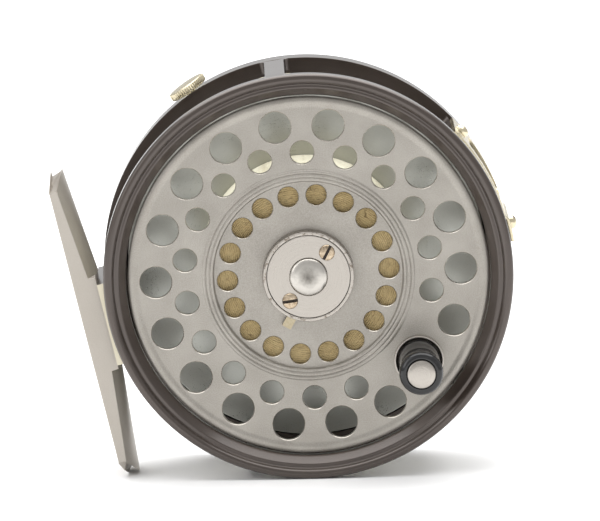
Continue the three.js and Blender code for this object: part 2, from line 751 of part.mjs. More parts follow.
function ratchetGear() {
  const outline = [];
  const firstGap = adjusterAngle;
  for (let i = 0; i < gearTeeth; i += 1) {
    const middle = firstGap + (i + 0.5) * pitchDegrees;
    outline.push(polar(gearRadius - toothDepth, middle - 0.3 * pitchDegrees));
    outline.push(polar(gearRadius, middle - 0.14 * pitchDegrees));
    outline.push(polar(gearRadius, middle + 0.14 * pitchDegrees));
    outline.push(polar(gearRadius - toothDepth, middle + 0.3 * pitchDegrees));
  }
  return cut(
    plate(outline, gearFront, gearBack),
    rod(bushRadius + boreFit, gearFront - 1, gearBack + 1, hubSegments),
    ...boresAt(gearScrewCircle, gearScrewAngles, gearScrew.shank + boreFit, gearFront - 1, gearBack + 1),
  );
}

function gearScrewShape() {
  const top = gearBack + seam + gearScrew.headHeight;
  return slotted(turned([
    [0, rearFlangeFront + 0.2],
    [gearScrew.shank, rearFlangeFront + 0.2],
    [gearScrew.shank, gearBack + seam],
    [gearScrew.head, gearBack + seam],
    [gearScrew.head, top],
    [0, top],
  ], holeSegments), gearScrew.head, 0.35, top, 0.25);
}

piece(spool, 'spool_front_flange', frontFlange(), spoolSilver);
piece(spool, 'spool_rear_flange', rearFlange(), spoolSilver);
const drum = tube(drumRadius - drumWall, drumRadius, recessBack + seam, rearFlangeFront - seam);
const bush = tube(spindleRadius + spindleFit, bushRadius, recessFront, gearBack + bushEnd);
piece(spool, 'spool_drum', drum, spoolSilver);
piece(spool, 'spindle_bush', bush, brass);
piece(spool, 'ratchet_gear', ratchetGear(), steel);
gearScrewAngles.forEach((angle, i) => {
  piece(stand(spool, place(gearScrewCircle, angle)), `gear_screw_${i + 1}`, gearScrewShape(), steel);
});
const lineFront = recessBack + lineGap;
const lineBack = rearFlangeFront - lineGap;
piece(spool, 'wound_line', tube(drumRadius + lineGap, lineRadius, lineFront, lineBack), backing);

// ---------------------------------------------------------------- hub and latch
const latchPivot = polar(coverScrew.circle, coverScrew.angle);
const latchEye = polar(latchBite, coverScrew.angle - 90);

// The lever moves towards smaller clock angles to let the spool go, so its slot is wider that way.
function hubHousing() {
  const seat = recessFront - seam;
  const body = turned([
    [hubInnerRadius, seat],
    [hubRadius + hubFlare, seat],
    [hubRadius, hubFront],
    [coverRadius + coverFit, hubFront],
    [coverRadius + coverFit, coverBack + seam],
    [hubInnerRadius, coverBack + seam],
  ], hubSegments);
  const reach = coverScrew.circle + latchReach;
  const half = THREE.MathUtils.radToDeg(latchWidth / 2 / hubInnerRadius);
  const travel = latchTravelDegrees * reach / hubRadius;
  const slotStart = latchTipAngle - 2 * half - travel;
  const slotEnd = latchTipAngle + 1.6 * half;
  const slot = sector(hubInnerRadius - past, hubRadius + 2 * past, slotStart, slotEnd);
  return cut(body, plate(slot, latchFront - latchFit, latchBack + latchFit));
}

function roundPlate(centre, radius, y0, y1, segments = hubSegments) {
  return rod(radius, y0, y1, segments).translate(centre.x, 0, centre.y);
}

function bar(from, to, width, y0, y1) {
  const across = to.clone().sub(from).normalize().rotateAround(new THREE.Vector2(), Math.PI / 2);
  across.multiplyScalar(width / 2);
  const nearSide = [from.clone().add(across), to.clone().add(across)];
  const farSide = [to.clone().sub(across), from.clone().sub(across)];
  return plate([...nearSide, ...farSide], y0, y1);
}

function latchLever() {
  const levels = [latchFront, latchBack];
  const bend = polar(latchRingRadius, latchBendAngle);
  const body = joined(
    roundPlate(latchEye, latchRingRadius, ...levels),
    roundPlate(latchPivot, latchPivotRadius, ...levels, pinSegments),
    bar(latchEye, latchPivot, 2 * latchPivotRadius, ...levels),
    bar(bend.clone().multiplyScalar(0.8), polar(latchReach, latchTipAngle), latchWidth, ...levels),
  );
  return cut(
    body,
    roundPlate(latchEye, latchEyeRadius, latchFront - 1, latchBack + 1, pinSegments),
    roundPlate(latchPivot, coverScrew.shank + boreFit, latchFront - 1, latchBack + 1, holeSegments),
  );
}

// A hairpin of wire in the space behind the lever.
function latchSpring() {
  const circle = hubInnerRadius - 1;
  const back = recessFront - wireGap;
  return plate(
    sector(circle - latchSpringWire, circle, coverScrew.angle + 25, coverScrew.angle + 140, 12),
    back - latchSpringWire,
    back,
  );
}

function hubCover() {
  return cut(
    tube(capRadius + coverFit, coverRadius, hubFront, coverBack),
    ...boresAt(coverScrew.circle, coverScrewAngles, coverScrew.shank + boreFit, hubFront - 1, coverBack + 1),
  );
}

// The cap's rim is held behind the cover, and its hollow clears the spindle's end.
function spindleCap() {
  const rimFront = coverBack + seam;
  const rimBack = rimFront + 0.3;
  const dome = [];
  for (let i = 1; i <= 5; i += 1) {
    const turn = (i / 6) * (Math.PI / 2);
    dome.push([capRadius * Math.cos(turn), hubFront - 0.2 - (capHeight - 0.2) * Math.sin(turn)]);
  }
  return turned([
    [0, coverBack - 0.25],
    [spindleRadius + 0.3, coverBack - 0.25],
    [spindleRadius + 0.3, rimBack],
    [capRadius + 0.6, rimBack],
    [capRadius + 0.6, rimFront],
    [capRadius, rimFront],
    [capRadius, hubFront - 0.2],
    ...dome,
    [0, hubFront - capHeight],
  ], hubSegments);
}

function coverScrewShape() {
  const seat = hubFront - seam;
  return slotted(turned([
    [0, recessFront + 1],
    [coverScrew.shank, recessFront + 1],
    [coverScrew.shank, seat],
    [coverScrew.head, seat],
    [coverScrew.head, seat - coverScrew.headHeight * 0.4],
    [coverScrew.head * 0.7, seat - coverScrew.headHeight],
    [0, seat - coverScrew.headHeight],
  ], pinSegments), coverScrew.head, coverScrew.slot, seat - coverScrew.headHeight, 0.35);
}

piece(spool, 'hub_housing', hubHousing(), polished);
piece(spool, 'latch_lever', latchLever(), nickelSilver);
piece(spool, 'latch_spring', latchSpring(), springSteel);
piece(spool, 'hub_cover', hubCover(), polished);
piece(spool, 'spindle_cap', spindleCap(), polished);
coverScrewAngles.forEach((angle, i) => {
  const screwStand = stand(spool, place(coverScrew.circle, angle));
  piece(screwStand, `cover_screw_${i + 1}`, coverScrewShape(), nickelSilver);
});

// ---------------------------------------------------------------- handle
const washerFront = -seam - handleWasher.thickness;
const headBack = -handleLength + handleHead.thickness;

function handleWasherShape() {
  const { radius, rim, rimWall } = handleWasher;
  return turned([
    [handlePinRadius + boreFit, -seam],
    [radius, -seam],
    [radius, washerFront - rim],
    [radius - rimWall, washerFront - rim],
    [radius - 2 * rimWall, washerFront],
    [handlePinRadius + boreFit, washerFront],
  ], hubSegments);
}

function handlePin() {
  return turned([
    [0, flangeThickness + handleRivet.thickness],
    [handleRivet.radius, flangeThickness + handleRivet.thickness],
    [handleRivet.radius, flangeThickness + seam],
    [handlePinRadius, flangeThickness + seam],
    [handlePinRadius, headBack],
    [handleHead.radius, headBack],
    [handleHead.radius, -handleLength + chamfer],
    [handleHead.radius - chamfer, -handleLength],
    [0, -handleLength - handleHead.crown],
  ], pinSegments);
}

// The knob is waisted, and its end is bored out so that the pin's head sits in it.
function handleKnob() {
  const back = washerFront - knobFit;
  const front = headBack - knob.rise;
  const bore = handlePinRadius + knobFit;
  const length = back - front;
  return turned([
    [bore, back],
    [knob.foot - chamfer, back],
    [knob.foot, back - chamfer],
    [knob.foot, back - 3 * chamfer],
    [knob.waist, back - length * 0.35],
    [knob.waist + 0.25, back - length * 0.6],
    [knob.end, front + 1.9],
    [knob.end, front + 1.1],
    [knob.end - 0.35, front + 0.35],
    [knob.end - 1, front],
    [handleHead.radius + knobFit, front],
    [handleHead.radius + knobFit, headBack + knobFit],
    [bore, headBack + knobFit],
  ], hubSegments);
}

const handleStand = stand(spool, place(handleCircle, handleAngle));
piece(handleStand, 'handle_washer', handleWasherShape(), polished);
piece(handleStand, 'handle_pin', handlePin(), polished);
piece(handleStand, 'handle_knob', handleKnob(), blackKnob);

// ---------------------------------------------------------------- the reel stands on the origin
reel.updateMatrixWorld(true);
const extent = new THREE.Box3().setFromObject(reel, true);
const middle = extent.getCenter(new THREE.Vector3());
reel.position.set(-middle.x, -middle.y, -extent.min.z);

export default reel;
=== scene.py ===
import json
import math

import bpy
import numpy as np
from mathutils import Matrix, Vector


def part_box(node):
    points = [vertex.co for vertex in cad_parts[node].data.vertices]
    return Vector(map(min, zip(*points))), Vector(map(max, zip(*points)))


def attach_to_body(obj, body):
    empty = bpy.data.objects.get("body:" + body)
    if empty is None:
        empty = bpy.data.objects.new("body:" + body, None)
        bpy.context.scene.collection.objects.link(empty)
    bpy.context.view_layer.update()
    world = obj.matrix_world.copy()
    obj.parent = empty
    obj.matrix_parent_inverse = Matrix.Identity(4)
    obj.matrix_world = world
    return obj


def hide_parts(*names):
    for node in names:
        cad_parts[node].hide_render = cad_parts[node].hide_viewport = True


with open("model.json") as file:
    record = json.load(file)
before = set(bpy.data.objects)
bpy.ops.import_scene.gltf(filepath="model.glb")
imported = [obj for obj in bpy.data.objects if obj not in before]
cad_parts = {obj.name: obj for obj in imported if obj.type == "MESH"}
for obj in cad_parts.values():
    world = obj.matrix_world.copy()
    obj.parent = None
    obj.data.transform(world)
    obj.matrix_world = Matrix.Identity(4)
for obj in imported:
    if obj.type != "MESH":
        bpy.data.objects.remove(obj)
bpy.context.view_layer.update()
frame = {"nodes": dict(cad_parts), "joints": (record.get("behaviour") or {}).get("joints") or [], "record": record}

# Metres. The spindle runs along Y and the spool's face looks towards -Y. Shapes are worked out in
# millimetres about the spindle axis, y = 0 at the spool's face, and moved into the frame at the end.
# Clock angles are degrees clockwise from the top, seen from the front.
mm = 0.001
spinJoint = next(j for j in frame["joints"] if j["name"] == "spool_spin")
axisPlace = Vector(spinJoint["pos_m"])


def nodeRange(node, axis):
    # lowest and highest value of a node's box along one axis, in millimetres about the spindle
    low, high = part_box(node)
    return (low[axis] - axisPlace[axis]) / mm, (high[axis] - axisPlace[axis]) / mm


def polar(radius, degrees):
    # (x, z) = radius * (sin a, cos a)
    a = np.radians(degrees)
    return radius * np.sin(a), radius * np.cos(a)


# camera, turned with the reel so that its rims and the foot's tip stand on the floor
camera = {
    "fromAxis": (-17.9, -1509.1, 259.0),   # mm
    "pan": 0.01411,
    "tilt": 0.16766,
    "roll": math.radians(1.14),
    "focal": 7323.7 / 600,                 # in picture widths
    "sensor": 36.0,
    "clip": (0.1, 20.0),                  # metres
}


def makeCamera(c):
    data = bpy.data.cameras.new("camera")
    data.sensor_width = c["sensor"]
    data.lens = c["focal"] * c["sensor"]
    data.clip_start, data.clip_end = c["clip"]
    obj = bpy.data.objects.new("camera", data)
    bpy.context.collection.objects.link(obj)
    sp, cp = math.sin(c["pan"]), math.cos(c["pan"])
    st, ct = math.sin(c["tilt"]), math.cos(c["tilt"])
    ahead = Vector((sp * ct, cp * ct, -st))
    right = Vector((cp, -sp, 0))
    up = right.cross(ahead)
    basis = Matrix((right, up, -ahead)).transposed()
    turn = Matrix.Rotation(c["roll"], 3, "Y")
    place = axisPlace + Vector(c["fromAxis"]) * mm
    obj.matrix_world = Matrix.Translation(place) @ (turn @ basis).to_4x4()
    bpy.context.scene.camera = obj


makeCamera(camera)
print("camera made")


# meshes worked out on grids
slotOfPiece = {}


def newObject(name, points, faces):
    # millimetres about the spindle axis become metres in the frame
    mesh = bpy.data.meshes.new(name)
    place = np.asarray(points, float) * mm + np.array(axisPlace)
    mesh.from_pydata(place.tolist(), [], faces)
    mesh.update()
    obj = bpy.data.objects.new(name, mesh)
    bpy.context.collection.objects.link(obj)
    return obj


def addMesh(name, points, faces, node, body, slot, sharp=30):
    obj = newObject(name, points, faces)
    finishMesh(obj.data, sharp)
    attach(obj, node, body, slot)
    return obj


def finishMesh(mesh, sharp):
    mesh.polygons.foreach_set("use_smooth", np.ones(len(mesh.polygons), bool))
    mesh.set_sharp_from_angle(angle=math.radians(sharp))


def attach(obj, node, body, slot):
    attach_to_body(obj, body)
    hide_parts(node)
    slotOfPiece[obj.name] = slot


def gridFaces(rows, columns, closeRows=False, closeColumns=False):
    # quads between neighbours of a rows x columns grid, wrapped round where it closes
    i = np.arange(rows if closeRows else rows - 1)[:, None]
    j = np.arange(columns if closeColumns else columns - 1)[None, :]
    nextI = (i + 1) % rows
    nextJ = (j + 1) % columns
    corner = np.stack(np.broadcast_arrays(i * columns + j, i * columns + nextJ,
                                          nextI * columns + nextJ, nextI * columns + j), -1)
    return corner.reshape(-1, 4)


def tubeFaces(rows, columns):
    # a grid's wall, closed round its columns, and a face over each end; the ends are listed the other
    # way round from the wall, so the faces of such a mesh don't all point the same way
    ends = [list(range(columns)), list(range(rows * columns - 1, (rows - 1) * columns - 1, -1))]
    return gridFaces(rows, columns, False, True).tolist() + ends


boxFaces = [[0, 1, 3, 2], [4, 6, 7, 5], [0, 4, 5, 1], [2, 3, 7, 6], [0, 2, 6, 4], [1, 5, 7, 3]]


def boxCorners(xs, ys, zs):
    return np.array([[x, y, z] for x in xs for y in ys for z in zs], float)


def rounded(corners, radius, steps=4):
    # each corner P becomes (1-s)^2 A + 2s(1-s) P + s^2 B, with A and B on its two sides
    p = np.asarray(corners, float)
    back, ahead = np.roll(p, 1, 0) - p, np.roll(p, -1, 0) - p
    lb, la = np.linalg.norm(back, axis=1), np.linalg.norm(ahead, axis=1)
    r = np.minimum(np.broadcast_to(radius, len(p)), 0.45 * np.minimum(lb, la))[:, None]
    a, b = p + back / lb[:, None] * r, p + ahead / la[:, None] * r
    s = np.linspace(0, 1, steps + 1)[None, :, None]
    arcs = (1 - s) ** 2 * a[:, None] + 2 * s * (1 - s) * p[:, None] + s ** 2 * b[:, None]
    return arcs.reshape(-1, 2)


def lathe(profile, segments):
    # (r sin t, y, r cos t) for every profile point (r, y) and angle t; the profile closes on itself
    t = np.linspace(0, 2 * np.pi, segments, endpoint=False)[:, None]
    r, y = profile[:, 0][None, :], profile[:, 1][None, :]
    grid = np.stack([r * np.sin(t), y + 0 * t, r * np.cos(t)], -1)
    return grid.reshape(-1, 3), gridFaces(segments, len(profile), True, True)


def latheSolid(profile, segments):
    # a closed profile that touches the axis at its first and last point, with one vertex at each pole
    ring = profile[1:-1]
    t = np.linspace(0, 2 * np.pi, segments, endpoint=False)[:, None]
    grid = np.stack([ring[:, 0] * np.sin(t), ring[:, 1] + 0 * t, ring[:, 0] * np.cos(t)], -1)
    points = np.vstack([grid.reshape(-1, 3), [[0, profile[0, 1], 0], [0, profile[-1, 1], 0]]])
    n, count = len(ring), len(ring) * segments
    i = np.arange(segments)
    j = (i + 1) % segments
    first = np.stack([np.full(segments, count), i * n, j * n], -1)
    last = np.stack([np.full(segments, count + 1), j * n + n - 1, i * n + n - 1], -1)
    return points, gridFaces(segments, n, True, False).tolist() + first.tolist() + last.tolist()


def outward(points, faces):
    # fans every face into triangles and takes the sign of their volume, sum of a . (b x c)
    fan = np.array([(f[0], f[i], f[i + 1]) for f in faces for i in range(1, len(f) - 1)])
    a, b, c = np.asarray(points)[fan.T]
    return faces if np.einsum("ij,ij->i", a, np.cross(b, c)).sum() > 0 else [f[::-1] for f in faces]


def solidPiece(name, profile, segments, node, body, slot, centre=(0, 0), sharp=30):
    points, faces = latheSolid(np.array(profile), segments)
    faces = outward(points, faces)
    return addMesh(name, points + np.array([centre[0], 0, centre[1]]), faces, node, body, slot, sharp)


def turnedPiece(name, corners, radius, segments, node, body, slot, centre=(0, 0), pole=False, sharp=30):
    profile = np.asarray(corners, float)
    if pole:
        inner = rounded(profile, radius)
        keep = slice(len(inner) // len(profile), -(len(inner) // len(profile)))
        profile = np.vstack([profile[:1], inner[keep], profile[-1:]])
        points, faces = latheSolid(profile, segments)
    else:
        points, faces = lathe(rounded(profile, radius), segments)
        faces = faces.tolist()
    faces = outward(points, faces)
    points = points + np.array([centre[0], 0, centre[1]])
    return addMesh(name, points, faces, node, body, slot, sharp)


def cutter(points, faces):
    return newObject("cutter", points, outward(points, faces))


def cutAway(obj, tool, sharp=30):
    # a boolean difference, applied, so that the piece keeps a plain mesh
    change = obj.modifiers.new("cut", "BOOLEAN")
    change.operation = "DIFFERENCE"
    change.solver = "EXACT"
    change.object = tool
    bpy.context.view_layer.update()
    made = bpy.data.meshes.new_from_object(obj.evaluated_get(bpy.context.evaluated_depsgraph_get()))
    obj.modifiers.clear()
    old = obj.data
    obj.data = made
    bpy.data.meshes.remove(old)
    bpy.data.objects.remove(tool)
    finishMesh(made, sharp)


def holeCutters(places, radius, front, back, flare=0.0, segments=48):
    # round plugs with a flared front end, so that each hole's edge is broken
    profile = np.array([[0, front - 1], [radius + flare + 1, front - 1], [radius, front + flare],
                        [radius, back + 1], [0, back + 1]])
    one, faces = latheSolid(profile, segments)
    faces = np.array([f + [f[-1]] * (4 - len(f)) for f in faces])
    shift = np.array([[x, 0, z] for x, z in places])[:, None]
    points = (one[None] + shift).reshape(-1, 3)
    step = (np.arange(len(places)) * len(one))[:, None, None]
    every = (faces[None] + step).reshape(-1, 4)
    return points, [list(dict.fromkeys(f)) for f in every.tolist()]


print("mesh tools ready")


# cage
ring = {
    "rim": nodeRange("frame_back_plate", 2)[1],
    "wall": 4.7,
    "groove": 2.3,        # inside the rim's outside
    "lip": 1.6,
    "lipWall": 1.7,
    "segments": 256,
}
ring["inner"] = ring["rim"] - ring["wall"]
faceY = nodeRange("frame_front_ring", 1)[0]


def makeFrontRing(s):
    r, inner, groove = s["rim"], s["inner"], s["rim"] - s["groove"]
    corners = [(inner, s["lip"]), (inner, -0.1), (inner + 0.3, -0.5), (groove - 0.7, faceY + 0.95),
               (groove, faceY + 1.15), (groove + 0.5, faceY + 0.35), (groove + 1.1, faceY),
               (r - 0.35, faceY + 0.2), (r, faceY + 0.75), (r, 0), (inner + s["lipWall"], 0),
               (inner + s["lipWall"], s["lip"])]
    radii = [0.1, 0.12, 0.15, 0.4, 0.25, 0.4, 0.6, 0.5, 0.5, 0.3, 0.1, 0.1]
    return turnedPiece("cageFrontRing", corners, radii, s["segments"], "frame_front_ring", "frame",
                       "cage_lacquer")


back = {
    "front": nodeRange("spindle_nut", 1)[0] - 1.55,
    "windowEnd": nodeRange("frame_back_plate", 1)[0],
    "face": nodeRange("frame_back_plate", 1)[1],
    "stepRadius": 33.0,
    "step": 0.5,
    "edge": 0.8,
    "spindleHole": 2.5,
    "postHole": 1.2,
}


def makeBackPlate(s):
    r, inner, face = ring["rim"], ring["inner"], s["face"]
    low = face - s["step"]
    corners = [(0, s["front"]), (inner, s["front"]), (inner, s["windowEnd"]), (r, s["windowEnd"]),
               (r, face - s["edge"]), (r - s["edge"], face), (s["stepRadius"], face),
               (s["stepRadius"] - s["step"], low), (0, low)]
    radii = [0, 0.2, 0.12, 0.12, 0.5, 0.5, 0.2, 0.2, 0]
    plate = turnedPiece("cageBackPlate", corners, radii, ring["segments"], "frame_back_plate", "frame",
                        "cage_lacquer", pole=True)
    posts = [centreOf(f"pawl_post_{i}") for i in (1, 2)]
    cutAway(plate, cutter(*holeCutters(posts, s["postHole"], s["front"] - 1, face)))
    cutAway(plate, cutter(*holeCutters([(0, 0)], s["spindleHole"], s["front"] - 1, face)))
    return plate


def centreOf(node):
    (x0, x1), (z0, z1) = nodeRange(node, 0), nodeRange(node, 2)
    return (x0 + x1) / 2, (z0 + z1) / 2


pillar = {
    "width": 4.2,
    "depth": 2.6,
    "fillet": 1.3,       # where it meets the rims
    "edge": 0.25,
    "rows": 40,
    "underGuard": 0.65,  # how far the pillar under the guard stops short of the rim
    "angles": {
        "frame_pillar_top": 351.7,
        "frame_pillar_guard_upper": 49.5,
        "frame_pillar_guard_lower": 78.7,
        "frame_pillar_lower_1": 129,
        "frame_pillar_lower_2": 196,
    },
}


def makePillar(node, angle, outer, s):
    # half width w(y) = w0 + f - sqrt(f^2 - (f - d)^2) within f of an end, d being the distance to it
    y0, y1 = nodeRange(node, 1)
    inner = ring["rim"] - s["depth"]
    y = y0 + (y1 - y0) * (1 - np.cos(np.linspace(0, np.pi, s["rows"]))) / 2
    near = np.minimum(np.minimum(y - y0, y1 - y), s["fillet"])
    f = s["fillet"]
    half = s["width"] / 2 + f - np.sqrt(f * f - (f - near) ** 2)
    section = rounded([(-1, inner), (1, inner), (1, outer), (-1, outer)], 0.12, 3)
    section[:, 1] = np.clip(section[:, 1], inner, outer)
    turn = np.radians(angle) + section[None, :, 0] * half[:, None] / ring["rim"]
    reach = np.broadcast_to(section[None, :, 1], turn.shape)
    depth = np.broadcast_to(y[:, None], turn.shape)
    grid = np.stack([reach * np.sin(turn), depth, reach * np.cos(turn)], -1)
    points, faces = grid.reshape(-1, 3), tubeFaces(*turn.shape)
    return addMesh("cage" + node.replace("frame_", "_"), points, outward(points, faces), node, "frame",
                   "cage_lacquer", 35)


makeFrontRing(ring)
makeBackPlate(back)
for node, angle in pillar["angles"].items():
    short = pillar["underGuard"] if node == "frame_pillar_guard_upper" else 0
    makePillar(node, angle, ring["rim"] - short, pillar)
print("cage made")


# foot: X along it, Y out to the rod, Z across, then turned into place
foot = {
    "lean": math.radians(12.884),
    "length": 66.4,
    "straight": 59.0,
    "width": 15.0,
    "block": 20.0,
    "blockDepth": 5.0,
    "seat": 48.45,
    "edge": (3.5, 1.3),
    "crown": (5.6, 3.6),
    "hollow": 1.2,
    "hollowRadius": 24.0,
    "depth": 10.0,
    "bevel": 0.3,
    "screwPlaces": (-6.5, 6.5),
    "sink": ((0, 42), (1.2, 42), (1.2, 47.0), (2.05, 48.2), (2.05, 49.5), (0, 49.5)),  # radius, out
}
footScrew = {
    "profile": ((0, 40.6), (1.1, 40.6), (1.1, 47.1), (1.9, 48.15), (1.8, 48.2), (0, 48.2)),
    "top": 48.2,
    "slot": 0.5,
    "turns": (20, -35),
}


def footSpace(points, s=foot):
    # along * (-sin l, 0, cos l) + out * (-cos l, 0, -sin l) + across * (0, 1, 0)
    p = np.asarray(points, float)
    sl, cl = math.sin(s["lean"]), math.cos(s["lean"])
    x = -p[:, 0] * sl - p[:, 1] * cl
    return np.stack([x, p[:, 2] + s["depth"], p[:, 0] * cl - p[:, 1] * sl], -1)


def makeFoot(s):
    # thickness = edge + (crown - edge)(1 - v^2); hollow = sqrt(R^2 - z^2) - (R - depth); v across
    v = np.concatenate([np.linspace(-1, 1, 21), np.linspace(1, -1, 21)])[None, :]
    top = np.concatenate([np.ones(21), np.zeros(21)])[None, :] > 0
    wing = np.concatenate([[0, 0.006], np.linspace(0.02, 1, 26)])
    u = np.concatenate([-wing[::-1], wing])[:, None]
    sign = np.where(np.arange(len(u)) < len(wing), -1.0, 1.0)[:, None]
    start = s["block"] / 2
    tip = s["straight"] / 2 + (s["length"] - s["straight"]) / 2 * (1 - v ** 2)
    along = start + (tip - start) * np.abs(u)
    share = (along - start) / (s["length"] / 2 - start)
    edge = s["edge"][0] + (s["edge"][1] - s["edge"][0]) * share
    crown = s["crown"][0] + (s["crown"][1] - s["crown"][0]) * share
    thick = edge + (crown - edge) * (1 - v ** 2)
    onBlock = np.abs(u) < 0.003
    thick = np.where(onBlock, s["blockDepth"], thick)
    z = v * s["width"] / 2
    hollow = np.sqrt(s["hollowRadius"] ** 2 - z ** 2) - s["hollowRadius"] + s["hollow"]
    hollow = np.where(onBlock | (np.abs(u) < 0.05), 0, np.maximum(hollow, 0))
    out = np.where(top, s["seat"] - thick, s["seat"] - hollow)
    grid = np.stack([sign * along, out, z + 0 * along], -1)
    points, faces = grid.reshape(-1, 3), tubeFaces(*grid.shape[:2])
    obj = addMesh("reelFoot", footSpace(points), outward(points, faces), "reel_foot", "frame",
                  "foot_alloy", 35)
    obj.data.validate()
    for place in s["screwPlaces"]:
        p, f = latheSolid(np.array(s["sink"]), 40)
        p = footSpace(p + np.array([place, 0, 0]))
        cutAway(obj, cutter(p, f))
    bevelled(obj, s["bevel"], 3, 45)


def bevelled(obj, width, segments, degrees):
    change = obj.modifiers.new("edges", "BEVEL")
    change.width = width * mm
    change.segments = segments
    change.limit_method = "ANGLE"
    change.angle_limit = math.radians(degrees)


slotReach = 8.0         # a slot's cutter, half its length


def makeScrew(name, profile, slot, top, node, body, finish, placing, turn=0.0, depth=0.5):
    # a lathed head about Y with a slot across it at the end called top, then placed
    points, faces = latheSolid(np.asarray(profile, float), 48)
    obj = newObject(name, placing(points), outward(points, faces))
    half = (slotReach, depth, slot / 2)
    corner = boxCorners(*[(-h, h) for h in half])
    t = math.radians(turn)
    spun = np.stack([corner[:, 0] * math.cos(t) - corner[:, 2] * math.sin(t), corner[:, 1] + top,
                     corner[:, 0] * math.sin(t) + corner[:, 2] * math.cos(t)], -1)
    corners = placing(spun)
    cutAway(obj, cutter(corners, boxFaces))
    markSlot(obj, corners)
    attach(obj, node, body, finish)
    bevelled(obj, 0.05, 2, 40)


def markSlot(obj, corners):
    # a face is in the slot when its middle's share along each of the slot's three edges is in 0 to 1
    polygons = obj.data.polygons
    middles = np.empty(len(polygons) * 3)
    polygons.foreach_get("center", middles)
    at = (middles.reshape(-1, 3) - np.array(axisPlace)) / mm - corners[0]
    edges = corners[[4, 2, 1]] - corners[0]
    share = at @ edges.T / (edges ** 2).sum(1)
    inside = ((share > -0.01) & (share < 1.01)).all(1)
    polygons.foreach_set("material_index", inside.astype(np.int32))


def footPlacing(along):
    return lambda p: footSpace(np.asarray(p) + np.array([along, 0, 0]))


makeFoot(foot)
for i, along in enumerate(foot["screwPlaces"]):
    makeScrew(f"footScrew_{i + 1}", footScrew["profile"], footScrew["slot"], footScrew["top"],
              f"foot_screw_{i + 1}", "frame", "steel", footPlacing(along), footScrew["turns"][i])
print("foot made")


# line guard
guard = {
    "start": 46.6,
    "end": 82.0,
    "step": 75.2,          # where the strip steps out over the lower pillar
    "band": (42.3, 43.1),
    "tab": (42.95, 43.65),
    "window": (53.0, 70.5),
    "rail": 3.5,
    "corner": 1.6,
    "screwAngles": (49.5, 78.7),
    "screwSeats": (43.15, 43.7),
}
guardScrew = {
    "shank": 0.7,
    "shankLength": 2.4,
    "head": 1.5,
    "wall": 0.35,
    "rise": 0.95,
    "top": 1.3,
    "slot": 0.4,
    "turns": (15, -30),
}


def radialSpace(degrees, y):
    # (x, out, z) -> x (cos a, 0, -sin a) + out (sin a, 0, cos a) - z (0, 1, 0), at depth y
    s, c = math.sin(math.radians(degrees)), math.cos(math.radians(degrees))
    return lambda p: np.stack([p[:, 0] * c + p[:, 1] * s, y - p[:, 2], -p[:, 0] * s + p[:, 1] * c], -1)


def makeGuard(s):
    # the strip's radius is r0 + (r1 - r0) smooth((a - step) / 1.4); its section is a rounded box
    y0, y1 = nodeRange("line_guard", 1)
    a = np.linspace(s["start"], s["end"], 90)[:, None]
    k = np.clip((a - s["step"]) / 1.4 + 0.5, 0, 1)
    k = k * k * (3 - 2 * k)
    low = s["band"][0] + (s["tab"][0] - s["band"][0]) * k
    high = s["band"][1] + (s["tab"][1] - s["band"][1]) * k
    section = rounded([(0, y0), (1, y0), (1, y1), (0, y1)], 0.2, 3)[None]
    reach = low + (high - low) * section[..., 0]
    y = np.broadcast_to(section[..., 1], reach.shape)
    t = np.radians(np.broadcast_to(a, reach.shape))
    grid = np.stack([reach * np.sin(t), y, reach * np.cos(t)], -1)
    points, faces = grid.reshape(-1, 3), tubeFaces(*reach.shape)
    obj = addMesh("lineGuard", points, outward(points, faces), "line_guard", "frame", "nickel_silver", 35)
    middle, width = sum(s["window"]) / 2, math.radians(s["window"][1] - s["window"][0]) * s["band"][1]
    outline = rounded([(-width / 2, y0 + s["rail"]), (width / 2, y0 + s["rail"]),
                       (width / 2, y1 - s["rail"]), (-width / 2, y1 - s["rail"])], s["corner"], 8)
    n = len(outline)
    turn = np.radians(middle) + outline[:, 0] / s["band"][1]
    levels = np.array([s["band"][0] - 2, s["tab"][1] + 2])[:, None]
    depth = np.broadcast_to(outline[:, 1], (2, n))
    tool = np.stack([levels * np.sin(turn), depth, levels * np.cos(turn)], -1)
    cutAway(obj, cutter(tool.reshape(-1, 3), tubeFaces(2, n)), 35)


makeGuard(guard)
guardMiddle = sum(nodeRange("line_guard", 1)) / 2
for i, (angle, seat) in enumerate(zip(guard["screwAngles"], guard["screwSeats"])):
    arc = np.linspace(0, np.pi / 2, 10)
    g, end, top = guardScrew, seat - guardScrew["shankLength"], seat + guardScrew["top"]
    crown = [(g["head"] * math.cos(t), seat + g["wall"] + g["rise"] * math.sin(t)) for t in arc[:-1]]
    profile = [(0, end), (g["shank"], end), (g["shank"], seat), (g["head"], seat), *crown, (0, top)]
    makeScrew(f"guardScrew_{i + 1}", profile, g["slot"], top, f"guard_screw_{i + 1}", "frame",
              "nickel_silver", radialSpace(angle, guardMiddle), g["turns"][i])
print("line guard made")


# check's adjuster, knurled
adjuster = {
    "angle": 326.3,
    "radius": 4.25,
    "foot": 43.3,
    "top": 44.9,
    "crown": 0.25,
    "screw": 1.0,
    "screwEnd": 26.8,
    "knurls": 50,
    "knurlDepth": 0.17,
    "knurlSegments": 8,
}


